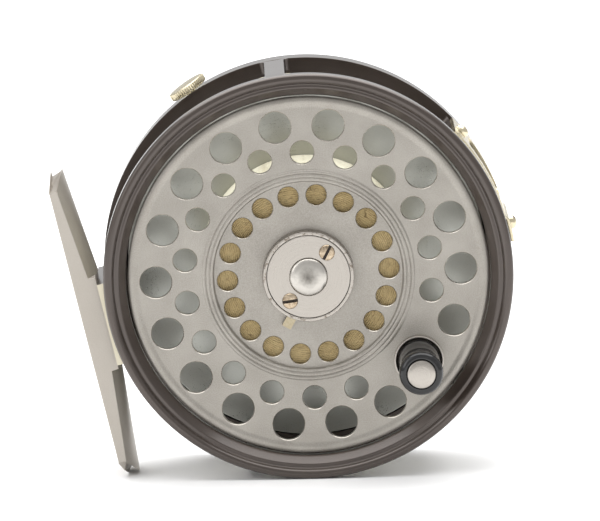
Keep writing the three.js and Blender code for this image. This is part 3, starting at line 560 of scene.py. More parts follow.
def makeAdjuster(s):
    # r = R(y) - d * side(y) * |sin(n t / 2)|^1.5, the side being 1 on the head's wall and 0 elsewhere
    r, low, top = s["radius"], s["foot"], s["top"]
    profile = np.array([(0, s["screwEnd"]), (s["screw"], s["screwEnd"]), (s["screw"], low), (r - 0.3, low),
                        (r - 0.06, low + 0.15), (r, low + 0.3), (r, low + 0.8), (r, top - 0.32),
                        (r - 0.1, top - 0.12), (r - 0.35, top), (r * 0.8, top + s["crown"] * 0.4),
                        (r * 0.5, top + s["crown"] * 0.85), (0, top + s["crown"])])
    side = np.array([0, 0, 0, 0, 1, 1, 1, 1, 0.5, 0, 0, 0, 0.0])
    segments = s["knurls"] * s["knurlSegments"]
    points, faces = latheSolid(profile, segments)
    t = np.arange(segments) * 2 * np.pi / segments
    groove = np.abs(np.sin(s["knurls"] * t / 2)) ** 1.5
    drop = np.outer(groove, side[1:-1]).reshape(-1, 1) * s["knurlDepth"]
    ringPoints = points[:-2]
    reach = np.linalg.norm(ringPoints[:, [0, 2]], axis=1, keepdims=True)
    ringPoints[:, [0, 2]] *= (reach - drop) / reach
    depth = sum(nodeRange("check_adjuster", 1)) / 2
    placed = radialSpace(s["angle"], depth)(points)
    addMesh("checkAdjuster", placed, outward(points, faces), "check_adjuster", "adjuster",
            "nickel_silver", 25)


makeAdjuster(adjuster)
print("check's adjuster made")


# spool
flange = {
    "radius": nodeRange("spool_rear_flange", 2)[1],
    "thickness": 1.4,
    "recess": 0.9,
    "recessRadius": 19.75,
    "bore": 4.3,
    "segments": 256,
    "holes": (
        {"count": 18, "circle": 31.95, "radius": 3.35, "phase": 8.5, "skip": (6,), "front": 0.0},
        {"count": 18, "circle": 26.0, "radius": 2.5, "phase": -1.8, "skip": (6, 7), "front": 0.0},
        {"count": 18, "circle": 16.95, "radius": 2.17, "phase": 6.7, "skip": (), "front": 0.9},
    ),
    "brokenEdge": 0.13,
    "rings": ((20.0, -0.3), (20.45, -0.35), (20.65, -0.1), (20.9, -0.32), (21.35, -0.28), (21.5, -0.05),
              (21.75, -0.26), (22.1, -0.24), (22.35, 0)),                 # radius, y
    "bead": ((-2.1, 0), (-1.35, -0.25), (-0.75, -0.25), (-0.25, -0.02), (0, 0.25)),  # from the rim
    "backStep": (22.3, 21.5),
    "radii": (0.05, 0.25, 0.15, 0.12, 0.12, 0.12, 0.1, 0.1, 0.12, 0.12, 0.15, 0.3, 0.35, 0.3, 0.25,
              0.15, 0.15, 0.3, 0.3, 0.1),
}


def makeFrontFlange(s):
    r, t, c = s["radius"], s["thickness"], s["recess"]
    stepStart, stepEnd = s["backStep"]
    corners = [(s["bore"], c), (s["recessRadius"], c), *s["rings"], *[(r + x, y) for x, y in s["bead"]],
               (r, t), (stepStart, t), (stepEnd, c + t), (s["bore"], c + t)]
    obj = turnedPiece("spoolFrontFlange", corners, s["radii"], s["segments"], "spool_front_flange",
                      "spool", "spool_lacquer")
    holes = []
    for h in s["holes"]:
        angles = [h["phase"] + 360 * i / h["count"] for i in range(h["count"]) if i not in h["skip"]]
        places = [polar(h["circle"], a) for a in angles]
        holes += [(x, z, h["radius"] + s["brokenEdge"]) for x, z in places]
        tool = holeCutters(places, h["radius"], h["front"], c + t, s["brokenEdge"])
        cutAway(obj, cutter(*tool))
    markWalls(obj, np.array(holes))


def markWalls(obj, holes):
    # a face is a hole's wall when it isn't square to Y and sqrt((x - hx)^2 + (z - hz)^2) of its middle
    # is within the hole
    polygons = obj.data.polygons
    middles, normals = np.empty(len(polygons) * 3), np.empty(len(polygons) * 3)
    polygons.foreach_get("center", middles)
    polygons.foreach_get("normal", normals)
    at = (middles.reshape(-1, 3) - np.array(axisPlace)) / mm
    apart = np.hypot(at[:, :1] - holes[:, 0], at[:, 2:] - holes[:, 1])
    wall = (apart < holes[:, 2]).any(1) & (np.abs(normals.reshape(-1, 3)[:, 1]) < 0.9)
    polygons.foreach_set("material_index", wall.astype(np.int32))


def makeRearFlange(s):
    y0, y1 = nodeRange("spool_rear_flange", 1)
    corners = [(s["bore"], y0), (s["radius"], y0), (s["radius"], y1), (s["bore"], y1)]
    return turnedPiece("spoolRearFlange", corners, 0.15, s["segments"], "spool_rear_flange", "spool",
                       "spool_lacquer")


windings = {
    "pitch": 0.4,          # one strand to the next
    "depth": 0.14,
    "inner": 12.75,
    "faceDepth": 1.2,
}


def makeLineFace(s, outer):
    # y = y0 + d (1 - |sin(pi (r + w(t)) / p)|), with w(t) = sum of slow waves round the drum
    y0 = nodeRange("wound_line", 1)[0]
    r = np.arange(s["inner"], outer - 0.3, s["pitch"] / 5)
    t = np.linspace(0, 2 * np.pi, 420, endpoint=False)[:, None]
    drift = 0.75 * np.sin(3 * t + 1) + 0.3 * np.sin(5 * t + r * 0.3) + 0.05 * np.sin(17 * t - r * 0.9)
    drift += 0.02 * np.sin(41 * t + 2 * r)
    lift = s["depth"] * (1 - np.abs(np.sin(np.pi * (r[None] + drift) / s["pitch"])))
    front = np.stack([r * np.sin(t), y0 + lift, r * np.cos(t)], -1)
    rear = np.array([r[-1], r[0]])
    close = np.stack([rear * np.sin(t), y0 + s["faceDepth"] + 0 * t * rear, rear * np.cos(t)], -1)
    grid = np.concatenate([front, close], 1)
    points = grid.reshape(-1, 3)
    faces = gridFaces(len(t), grid.shape[1], True, True).tolist()
    return addMesh("backingFace", points, outward(points, faces), "wound_line", "spool",
                   "braided_backing", 60)


def makeLineBody(s, outer):
    # r = R - d (1 - |sin(pi y / p)|) between the two ends
    y0, y1 = nodeRange("wound_line", 1)
    y = np.arange(y0 + s["faceDepth"] + 0.1, y1 - 0.05, s["pitch"] / 5)
    r = outer - s["depth"] * (1 - np.abs(np.sin(np.pi * y / s["pitch"])))
    profile = np.vstack([np.stack([r, y], -1), [[s["inner"], y[-1]], [s["inner"], y[0]]]])
    points, faces = lathe(profile, 160)
    return addMesh("backingBody", points, outward(points, faces.tolist()), "wound_line", "spool",
                   "braided_backing", 60)


lineOuter = nodeRange("wound_line", 2)[1]
makeFrontFlange(flange)
makeRearFlange(flange)
makeLineFace(windings, lineOuter)
makeLineBody(windings, lineOuter)
print("spool made")


# hub
hub = {
    "radius": 9.5,
    "footRadius": 9.65,
    "bore": 8.0,
    "lipBore": 8.8,
    "floor": -1.05,
    "front": nodeRange("hub_cover", 1)[0],
    "coverBack": nodeRange("hub_cover", 1)[1],
    "seat": 0.85,
    "cover": 8.7,
    "coverBore": 4.0,
    "cap": 3.9,
    "capRim": 4.5,
    "capNeck": 2.75,
    "capStep": -0.75,
    "domeStart": 0.2,
    "capFront": nodeRange("spindle_cap", 1)[0],
    "segments": 128,
    "slot": (181.2, 215.3),
    "slotDepth": (-0.65, 0.45),
    "slotReach": (7, 12),
}


def makeHub(s):
    front, coverBack = s["front"], s["coverBack"]
    corners = [(s["bore"], s["seat"]), (s["footRadius"], s["seat"]), (s["radius"], front),
               (s["lipBore"], front), (s["lipBore"], s["floor"]), (s["bore"], s["floor"])]
    housing = turnedPiece("hubHousing", corners, [0.05, 0.08, 0.2, 0.1, 0.08, 0.05], s["segments"],
                          "hub_housing", "spool", "polished_alloy")
    a = np.radians(np.linspace(*s["slot"], 12))
    near, far = s["slotReach"]
    outline = np.concatenate([np.stack([far * np.sin(a), far * np.cos(a)], -1),
                              np.stack([near * np.sin(a[::-1]), near * np.cos(a[::-1])], -1)])
    n = len(outline)
    levels = np.array(s["slotDepth"])[:, None] + np.zeros(n)
    x, z = np.broadcast_to(outline.T[:, None], (2, 2, n))
    tool = np.stack([x, levels, z], -1)
    cutAway(housing, cutter(tool.reshape(-1, 3), tubeFaces(2, n)))
    cover = [(s["coverBore"], coverBack), (s["cover"], coverBack), (s["cover"], front),
             (s["coverBore"], front)]
    turnedPiece("hubCover", cover, [0.05, 0.05, 0.18, 0.1], s["segments"], "hub_cover", "spool",
                "polished_alloy")
    t = np.linspace(0, np.pi / 2, 16)[:-1]
    start = front - s["domeStart"]
    rise = s["capFront"] - start
    crown = [(s["cap"] * math.cos(x) ** 0.85, start + rise * math.sin(x)) for x in t]
    cap = [(0, coverBack - 0.25), (s["capNeck"], coverBack - 0.25), (s["capNeck"], s["capStep"]),
           (s["capRim"], s["capStep"]), (s["capRim"], s["floor"]), (s["cap"], s["floor"]), *crown,
           (0, s["capFront"])]
    solidPiece("spindleCap", cap, s["segments"], "spindle_cap", "spool", "polished_alloy", sharp=40)


def facePlacing(x, z):
    return lambda p: np.asarray(p) + np.array([x, 0, z])


makeHub(hub)
coverScrew = {
    "seat": hub["front"] - 0.05,
    "end": 1.9,
    "shank": 0.8,
    "head": ((1.65, 0), (1.65, 0.2), (1.5, 0.36), (1.1, 0.47), (0, 0.5)),   # radius, height
    "top": 0.5,
    "slot": 0.6,
    "slotDepth": 0.42,
    "turns": (62, 8),
}
screwSeat = coverScrew["seat"]
screwProfile = [(0, coverScrew["end"]), (coverScrew["shank"], coverScrew["end"]),
                (coverScrew["shank"], screwSeat), *[(r, screwSeat - h) for r, h in coverScrew["head"]]]
for i, turn in enumerate(coverScrew["turns"], 1):
    x, z = centreOf(f"cover_screw_{i}")
    makeScrew(f"coverScrew_{i}", screwProfile, coverScrew["slot"], screwSeat - coverScrew["top"],
              f"cover_screw_{i}", "spool", "nickel_silver", facePlacing(x, z), turn,
              coverScrew["slotDepth"])
print("hub made")


# handle
handle = {
    "segments": 128,
    "washer": 5.2,
    "washerBore": 1.7,
    "washerFront": -0.85,
    "washerRim": 0.4,
    "knobBore": 1.8,
    "pin": 1.6,
    "head": 2.95,
}


def makeHandle(s):
    centre = centreOf("handle_knob")
    bore, washerFront = s["washerBore"], s["washerFront"]
    rim = washerFront - s["washerRim"]
    front, rear = nodeRange("handle_knob", 1)
    tip = nodeRange("handle_pin", 1)[0]
    washer = [(bore, -0.05), (s["washer"], -0.05), (s["washer"], rim), (s["washer"] - 0.35, rim),
              (s["washer"] - 0.7, washerFront), (bore, washerFront)]
    turnedPiece("handleWasher", washer, [0.05, 0.08, 0.12, 0.12, 0.2, 0.05], s["segments"],
                "handle_washer", "spool", "polished_alloy", centre)
    length = rear - front
    knob = [(s["knobBore"], rear), (4.1, rear), (4.4, rear - 0.35), (4.4, rear - 0.9),
            (3.8, rear - length * 0.35), (4.05, rear - length * 0.6), (4.6, front + 1.9),
            (4.6, front + 1.1), (4.25, front + 0.35), (3.6, front), (3.15, front), (3.15, front + 0.65),
            (s["knobBore"], front + 0.65)]
    radii = [0.1, 0.2, 0.3, 0.5, 2.6, 2.6, 0.5, 0.4, 0.4, 0.25, 0.1, 0.05, 0.1]
    turnedPiece("handleKnob", knob, radii, s["segments"], "handle_knob", "knob", "knob_black", centre)
    head, pin = s["head"], s["pin"]
    profile = [(0, 1.9), (2.3, 1.9), (2.5, 1.7), (2.5, 1.45), (pin, 1.45), (pin, tip + 1.2),
               (head - 0.1, tip + 1.2), (head, tip + 1.1), (head, tip + 0.5), (head - 0.08, tip + 0.33),
               (head - 0.3, tip + 0.2), (head * 0.6, tip + 0.08), (0, tip)]
    solidPiece("handlePin", profile, s["segments"], "handle_pin", "spool", "polished_alloy", centre)


makeHandle(handle)


# spindle and its nut
spindle = {
    "radius": 2.45,
    "neck": 1.9,
    "neckSpan": (-0.65, 0.45),   # where the latch's lever grips
    "collar": 5,
    "collarDepth": 0.8,
    "nut": 5.6,
    "nutBore": 2.5,
    "nutSlot": 0.6,              # half its width, and its depth
    "segments": 96,
}


def makeSpindle(s):
    tip, end = nodeRange("spindle", 1)
    face, top = nodeRange("spindle_nut", 1)
    shoulder = back["front"] - 0.05
    r, neck, collar = s["radius"], s["neck"], s["collar"]
    (neckStart, neckEnd), low = s["neckSpan"], shoulder - s["collarDepth"]
    profile = [(0, tip), (r - 0.3, tip), (r, tip + 0.3), (r, neckStart), (neck, neckStart),
               (neck, neckEnd), (r, neckEnd), (r, low), (collar, low), (collar, shoulder), (r, shoulder),
               (r, end - 0.25), (r - 0.25, end), (0, end)]
    solidPiece("spindlePost", profile, s["segments"], "spindle", "frame", "steel")
    bore, nut, half = s["nutBore"], s["nut"], s["nutSlot"]
    piece = turnedPiece("spindleNut", [(bore, face), (nut, face), (nut, top), (bore, top)],
                        [0.05, 0.08, 0.35, 0.15], s["segments"], "spindle_nut", "frame", "steel")
    corners = boxCorners((-slotReach, slotReach), (top - half, top + 1), (-half, half))
    cutAway(piece, cutter(corners, boxFaces))


makeSpindle(spindle)
print("handle and spindle made")


# shader groups: each is built once and placed with its own values
def newGroup(name, outputs, **inputs):
    # a vector and numbers go in, with these values, and numbers come out
    tree = bpy.data.node_groups.new(name, "ShaderNodeTree")
    tree.interface.new_socket("Vector", in_out="INPUT", socket_type="NodeSocketVector")
    for socket, value in inputs.items():
        made = tree.interface.new_socket(socket, in_out="INPUT", socket_type="NodeSocketFloat")
        made.default_value = value
    for socket in outputs:
        tree.interface.new_socket(socket, in_out="OUTPUT", socket_type="NodeSocketFloat")
    return tree, tree.nodes.new("NodeGroupInput"), tree.nodes.new("NodeGroupOutput")


def doMath(tree, operation, a, b=None, clamp=False):
    node = tree.nodes.new("ShaderNodeMath")
    node.operation = operation
    node.use_clamp = clamp
    for socket, value in zip(node.inputs, (a, b)):
        feed(tree, value, socket)
    return node.outputs[0]


def feed(tree, value, socket):
    if value is None:
        return
    if hasattr(value, "is_output"):
        tree.links.new(value, socket)
    else:
        socket.default_value = value


def noise(tree, vector, scale, detail=4.0, rough=0.55):
    node = tree.nodes.new("ShaderNodeTexNoise")
    feed(tree, vector, node.inputs["Vector"])
    feed(tree, scale, node.inputs["Scale"])
    node.inputs["Detail"].default_value = detail
    node.inputs["Roughness"].default_value = rough
    return node.outputs["Fac"]


def stretch(tree, value, low, high, outLow=0.0, outHigh=1.0):
    node = tree.nodes.new("ShaderNodeMapRange")
    for socket, v in zip(node.inputs, (value, low, high, outLow, outHigh)):
        feed(tree, v, socket)
    return node.outputs[0]


def radiusOf(tree, vector):
    # x, y, z and sqrt(x^2 + z^2)
    split = tree.nodes.new("ShaderNodeSeparateXYZ")
    tree.links.new(vector, split.inputs[0])
    x, y, z = split.outputs
    square = doMath(tree, "ADD", doMath(tree, "MULTIPLY", x, x), doMath(tree, "MULTIPLY", z, z))
    return x, y, z, doMath(tree, "SQRT", square)


def weighed(tree, a, b, share):
    # a (1 - share) + b share
    return doMath(tree, "ADD", doMath(tree, "MULTIPLY", a, 1 - share), doMath(tree, "MULTIPLY", b, share))


def buildTurnedMarks():
    # noise over (radius * density, x / 5, z / 5): fine rings left by a lathe, slowly changing round
    tree, inp, out = newGroup("turnedMarks", ("Height", "Tone"), Density=9.0)
    x, y, z, radius = radiusOf(tree, inp.outputs["Vector"])
    join = tree.nodes.new("ShaderNodeCombineXYZ")
    feed(tree, doMath(tree, "MULTIPLY", radius, inp.outputs["Density"]), join.inputs["X"])
    feed(tree, doMath(tree, "MULTIPLY", x, 0.2), join.inputs["Y"])
    feed(tree, doMath(tree, "MULTIPLY", z, 0.2), join.inputs["Z"])
    fine = noise(tree, join.outputs[0], 1.0, 5.0, 0.7)
    tree.links.new(fine, out.inputs["Height"])
    feed(tree, stretch(tree, fine, 0.3, 0.7), out.inputs["Tone"])
    return tree


def buildGrain():
    # two sizes of noise, for the tooth of a lacquer or a cast skin
    tree, inp, out = newGroup("fineGrain", ("Height", "Tone"), Scale=6.0)
    small = noise(tree, inp.outputs["Vector"], inp.outputs["Scale"], 2.0)
    large = noise(tree, inp.outputs["Vector"], 0.11, 3.0)
    tree.links.new(small, out.inputs["Height"])
    mixed = weighed(tree, small, large, 0.45)
    feed(tree, stretch(tree, mixed, 0.35, 0.65), out.inputs["Tone"])
    return tree


def buildScratches():
    # hair scratches: noise drawn out along one way, kept only where a slow noise lets it show
    tree, inp, out = newGroup("hairScratches", ("Mask",), Amount=0.4, Turn=0.6)
    turn = tree.nodes.new("ShaderNodeVectorRotate")
    turn.rotation_type = "Y_AXIS"
    tree.links.new(inp.outputs["Vector"], turn.inputs["Vector"])
    tree.links.new(inp.outputs["Turn"], turn.inputs["Angle"])
    thin = tree.nodes.new("ShaderNodeVectorMath")
    thin.operation = "MULTIPLY"
    tree.links.new(turn.outputs[0], thin.inputs[0])
    thin.inputs[1].default_value = (7.0, 1.0, 0.32)
    lines = noise(tree, thin.outputs[0], 1.0, 2.0, 0.4)
    where = noise(tree, inp.outputs["Vector"], 0.22, 2.0)
    edge = stretch(tree, lines, 0.66, 0.72)
    area = stretch(tree, where, 0.45, 0.65)
    mask = doMath(tree, "MULTIPLY", doMath(tree, "MULTIPLY", edge, area), inp.outputs["Amount"], clamp=True)
    feed(tree, mask, out.inputs["Mask"])
    return tree


def buildBand():
    # 1 where y lies between Low and High and the radius is past Radius, with soft sides; Ragged
    # leaves it only in patches
    tree, inp, out = newGroup("edgeBand", ("Mask",), Low=0.0, High=0.3, Radius=40.0, Soft=0.06,
                              Ragged=0.0)
    x, y, z, radius = radiusOf(tree, inp.outputs["Vector"])
    soft = inp.outputs["Soft"]
    ends = (inp.outputs["Low"], inp.outputs["High"], inp.outputs["Radius"])
    low, high, past = [(end, doMath(tree, "ADD", end, soft)) for end in ends]
    rise = stretch(tree, y, *low)
    fall = stretch(tree, y, *high, 1.0, 0.0)
    outer = stretch(tree, radius, *past)
    whole = doMath(tree, "MULTIPLY", doMath(tree, "MULTIPLY", rise, fall), outer)
    patches = stretch(tree, noise(tree, inp.outputs["Vector"], 1.3, 5.0, 0.7), 0.54, 0.6)
    missing = doMath(tree, "MULTIPLY", doMath(tree, "SUBTRACT", 1.0, patches), inp.outputs["Ragged"])
    kept = doMath(tree, "SUBTRACT", 1.0, missing)
    feed(tree, doMath(tree, "MULTIPLY", whole, kept), out.inputs["Mask"])
    return tree


groups = {"turned": buildTurnedMarks(), "grain": buildGrain(), "scratch": buildScratches(),
          "band": buildBand()}


# materials
def startMaterial(name, centre=(0, 0)):
    # returns the tree, its shader and a vector in millimetres about an axis along Y
    mat = bpy.data.materials.new(name)
    mat.use_nodes = True
    tree = mat.node_tree
    shader = tree.nodes["Principled BSDF"]
    place = tree.nodes.new("ShaderNodeTexCoord").outputs["Object"]
    mapping = tree.nodes.new("ShaderNodeMapping")
    middle = axisPlace + Vector((centre[0] * mm, 0, centre[1] * mm))
    mapping.inputs["Location"].default_value = [-v / mm for v in middle]
    mapping.inputs["Scale"].default_value = (1 / mm, 1 / mm, 1 / mm)
    tree.links.new(place, mapping.inputs["Vector"])
    return mat, tree, shader, mapping.outputs[0]


def useGroup(tree, key, vector, **values):
    node = tree.nodes.new("ShaderNodeGroup")
    node.node_tree = groups[key]
    tree.links.new(vector, node.inputs["Vector"])
    for name, value in values.items():
        feed(tree, value, node.inputs[name])
    return node


def mixColour(tree, factor, a, b):
    node = tree.nodes.new("ShaderNodeMix")
    node.data_type = "RGBA"
    feed(tree, factor, node.inputs["Factor"])
    feed(tree, a, node.inputs["A"])
    feed(tree, b, node.inputs["B"])
    return node.outputs["Result"]


def bumped(tree, shader, height, distance):
    node = tree.nodes.new("ShaderNodeBump")
    node.inputs["Distance"].default_value = distance * mm
    tree.links.new(height, node.inputs["Height"])
    tree.links.new(node.outputs[0], shader.inputs["Normal"])


def colour(r, g, b):
    return (r, g, b, 1.0)


# what a finish has unless it says otherwise; the band is from y, to y, past a radius, raggedness
plainMetal = {"metallic": 1.0, "scratches": 0.0, "coat": 0.0, "band": (90.0, 91.0, 90.0, 0.0)}


def metalMaterial(name, own, centre=(0, 0)):
    s = {**plainMetal, **own}
    mat, tree, shader, vector = startMaterial(name, centre)
    shader.inputs["Metallic"].default_value = s["metallic"]
    grain = useGroup(tree, "grain", vector, Scale=s["grain"])
    marks = useGroup(tree, "turned", vector, Density=s["density"])
    scratch = useGroup(tree, "scratch", vector, Amount=s["scratches"])
    tone = weighed(tree, grain.outputs["Tone"], marks.outputs["Tone"], s["turnedShare"])
    base = mixColour(tree, tone, colour(*s["dark"]), colour(*s["light"]))
    # the band is mixed in with the scratches, in their colour; on the cage it is a painted highlight along the
    # front ring's rear outer edge, partly edge wear, and on the hub housing it gives ragged darker patches
    low, high, radius, ragged = s["band"]
    band = useGroup(tree, "band", vector, Low=low, High=high, Radius=radius, Ragged=ragged)
    scratchesAndBand = doMath(tree, "MAXIMUM", scratch.outputs["Mask"], band.outputs["Mask"])
    tree.links.new(mixColour(tree, scratchesAndBand, base, colour(*s["bare"])), shader.inputs["Base Color"])
    shader.inputs["Coat Weight"].default_value = s["coat"]
    shader.inputs["Coat Roughness"].default_value = 0.2
    rough = stretch(tree, tone, 0, 1, s["rough"][0], s["rough"][1])
    feed(tree, rough, shader.inputs["Roughness"])
    height = weighed(tree, grain.outputs["Height"], marks.outputs["Height"], s["turnedShare"])
    carved = doMath(tree, "SUBTRACT", height, doMath(tree, "MULTIPLY", scratch.outputs["Mask"], 0.5))
    bumped(tree, shader, carved, s["relief"])
    return mat


finishes = {
    # on the cage, the band and its cream colour are a painted highlight along the front ring's rear outer edge,
    # partly edge wear
    "cage": {"dark": (0.044, 0.031, 0.024), "light": (0.062, 0.045, 0.036), "bare": (0.82, 0.76, 0.58),
        "metallic": 0.7, "rough": (0.32, 0.4), "grain": 7.0, "density": 5.0, "turnedShare": 0.35,
        "relief": 0.004, "coat": 1.0, "band": (-0.3, 0.03, 42.5, 0.0)},
    "spoolLacquer": {"dark": (0.265, 0.245, 0.216), "light": (0.405, 0.38, 0.342),
        "bare": (0.62, 0.6, 0.57), "metallic": 0.7, "rough": (0.36, 0.46), "grain": 4.8, "density": 4.0,
        "turnedShare": 0.12, "scratches": 0.06, "relief": 0.016, "coat": 0.15},
    # the rear flange: a lighter copy of the spool lacquer, painted light on the flange seen through the holes
    "rearLacquerLit": {"dark": (0.43, 0.435, 0.4), "light": (0.5, 0.505, 0.47), "bare": (0.6, 0.6, 0.56),
        "metallic": 0.9, "rough": (0.26, 0.34), "grain": 5.5, "density": 4.0, "turnedShare": 0.3,
        "scratches": 0.05, "relief": 0.008},
    # hole walls and their broken edges: a lighter copy of the flange lacquer, a painted highlight
    "holeWallLit": {"dark": (0.4, 0.37, 0.33), "light": (0.5, 0.47, 0.42), "bare": (0.7, 0.67, 0.62),
        "rough": (0.24, 0.34), "grain": 5.0, "density": 4.0, "turnedShare": 0.1, "relief": 0.004},
    "hubTurned": {"dark": (0.38, 0.35, 0.315), "light": (0.47, 0.44, 0.4), "bare": (0.2, 0.17, 0.14),
        "rough": (0.24, 0.36), "grain": 3.0, "density": 11.0, "turnedShare": 0.85, "scratches": 0.25,
        "relief": 0.008, "band": (-3.0, 1.0, 8.85, 1.0)},
    "footAlloy": {"dark": (0.4, 0.365, 0.32), "light": (0.45, 0.415, 0.37), "bare": (0.6, 0.58, 0.55),
        "metallic": 0.5, "rough": (0.34, 0.42), "grain": 4.0, "density": 0.8, "turnedShare": 0.1,
        "scratches": 0.15, "relief": 0.006},
    "nickelSilver": {"dark": (0.6, 0.53, 0.37), "light": (0.72, 0.65, 0.48), "bare": (0.9, 0.86, 0.74),
        "rough": (0.2, 0.3), "grain": 2.5, "density": 3.0, "turnedShare": 0.2, "scratches": 0.2,
        "relief": 0.005},
    "screwBrass": {"dark": (0.17, 0.11, 0.06), "light": (0.66, 0.55, 0.41), "bare": (0.08, 0.055, 0.035),
        "rough": (0.2, 0.36), "grain": 1.4, "density": 3.0, "turnedShare": 0.2, "scratches": 0.6,
        "relief": 0.012},
    "latchBrass": {"dark": (0.33, 0.28, 0.18), "light": (0.45, 0.39, 0.28), "bare": (0.6, 0.54, 0.4),
        "rough": (0.28, 0.4), "grain": 2.0, "density": 2.0, "turnedShare": 0.1, "scratches": 0.4,
        "relief": 0.008},
    "slotShade": {"dark": (0.02, 0.014, 0.01), "light": (0.05, 0.036, 0.026), "bare": (0.1, 0.08, 0.06),
        "metallic": 0.3, "rough": (0.5, 0.7), "grain": 3.0, "density": 2.0, "turnedShare": 0.1,
        "relief": 0.01},
    "screwSteel": {"dark": (0.38, 0.37, 0.36), "light": (0.5, 0.49, 0.48), "bare": (0.75, 0.74, 0.72),
        "rough": (0.22, 0.36), "grain": 3.0, "density": 8.0, "turnedShare": 0.5, "scratches": 0.3,
        "relief": 0.008},
    "springBlue": {"dark": (0.16, 0.165, 0.18), "light": (0.3, 0.3, 0.31), "bare": (0.6, 0.6, 0.6),
        "rough": (0.28, 0.4), "grain": 3.0, "density": 1.0, "turnedShare": 0.1, "scratches": 0.3,
        "relief": 0.008},
    "bushBrass": {"dark": (0.55, 0.4, 0.19), "light": (0.72, 0.55, 0.3), "bare": (0.9, 0.78, 0.5),
        "rough": (0.24, 0.4), "grain": 3.0, "density": 9.0, "turnedShare": 0.6, "scratches": 0.3,
        "relief": 0.01},
}
knobCentre = centreOf("handle_knob")
metals = {name: metalMaterial(name, s) for name, s in finishes.items()}
metals["handleTurned"] = metalMaterial("handleTurned", finishes["hubTurned"], knobCentre)


def knobMaterial():
    # glossy black with a few dull hairlines
    mat, tree, shader, vector = startMaterial("knobBlack", knobCentre)
    scratch = useGroup(tree, "scratch", vector, Amount=0.5, Turn=1.3)
    grain = useGroup(tree, "grain", vector, Scale=1.2)
    base = mixColour(tree, grain.outputs["Tone"], colour(0.006, 0.006, 0.0065), colour(0.014, 0.014, 0.015))
    tree.links.new(mixColour(tree, scratch.outputs["Mask"], base, colour(0.09, 0.09, 0.09)),
                   shader.inputs["Base Color"])
    feed(tree, stretch(tree, grain.outputs["Tone"], 0, 1, 0.08, 0.2), shader.inputs["Roughness"])
    bumped(tree, shader, scratch.outputs["Mask"], 0.004)
    return mat


dome = {"dark": (0.1, 0.092, 0.08), "light": (0.52, 0.495, 0.455), "darkMiddle": (0.3, 2.6)}


def domeMaterial(s):
    # polished, with a painted dark reflection in the middle, duller there too, that fades out from the middle
    mat, tree, shader, vector = startMaterial("domePolished")
    shader.inputs["Metallic"].default_value = 1.0
    grain = useGroup(tree, "grain", vector, Scale=1.3)
    scratch = useGroup(tree, "scratch", vector, Amount=0.5)
    radius = radiusOf(tree, vector)[3]
    # darker towards the middle: a painted reflection of the dark side in front of the reel
    awayFromMiddle = stretch(tree, radius, s["darkMiddle"][0], s["darkMiddle"][1], 0.0, 0.85)
    tone = doMath(tree, "ADD", awayFromMiddle, doMath(tree, "MULTIPLY", grain.outputs["Tone"], 0.3), clamp=True)
    base = mixColour(tree, tone, colour(*s["dark"]), colour(*s["light"]))
    scored = mixColour(tree, scratch.outputs["Mask"], base, colour(*s["dark"]))
    tree.links.new(scored, shader.inputs["Base Color"])
    feed(tree, stretch(tree, tone, 0, 1, 0.5, 0.3), shader.inputs["Roughness"])
    bumped(tree, shader, grain.outputs["Height"], 0.03)
    return mat


# each gap colour is painted shade between the strands
windingPaints = {
    "backing": {"dark": (0.4, 0.3, 0.14), "light": (0.56, 0.44, 0.235), "gap": (0.13, 0.085, 0.035),
                "wander": 7.0, "strands": 2.6},
    "backingSide": {"dark": (0.72, 0.68, 0.5), "light": (0.88, 0.85, 0.7), "gap": (0.55, 0.5, 0.34),
                    "wander": 1.0, "strands": 2.0},
}


def backingMaterial(name, s):
    # braided strands, with painted shade in the gaps between them
    mat, tree, shader, vector = startMaterial(name)
    shader.inputs["Roughness"].default_value = 0.85
    shader.inputs["Sheen Weight"].default_value = 0.3
    shader.inputs["Specular IOR Level"].default_value = 0.25
    grain = useGroup(tree, "grain", vector, Scale=4.5)
    # the gap colour goes where Pointiness finds the surface hollow: painted shade in the creases between windings
    curve = tree.nodes.new("ShaderNodeNewGeometry").outputs["Pointiness"]
    strand = stretch(tree, curve, 0.42, 0.5)
    shown = stretch(tree, noise(tree, vector, 0.8, 3.0), 0.42, 0.6)
    between = doMath(tree, "SUBTRACT", 1.0, strand)
    gap = doMath(tree, "SUBTRACT", 1.0, doMath(tree, "MULTIPLY", between, shown))
    wander = tree.nodes.new("ShaderNodeVectorMath")
    wander.operation = "ADD"
    drift = doMath(tree, "SUBTRACT", noise(tree, vector, 0.28, 2.0), 0.5)
    slant = doMath(tree, "MULTIPLY", drift, s["wander"])
    tree.links.new(vector, wander.inputs[0])
    tree.links.new(slant, wander.inputs[1])
    # dark streaks along the strands: painted shade between the strands
    rings = useGroup(tree, "turned", wander.outputs[0], Density=s["strands"])
    split = stretch(tree, rings.outputs["Height"], 0.56, 0.66)
    tan = mixColour(tree, grain.outputs["Tone"], colour(*s["dark"]), colour(*s["light"]))
    shadeLined = mixColour(tree, doMath(tree, "MULTIPLY", split, 0.8), tan, colour(*s["gap"]))
    tree.links.new(mixColour(tree, gap, colour(*s["gap"]), shadeLined), shader.inputs["Base Color"])
    bumped(tree, shader, grain.outputs["Height"], 0.03)
    return mat


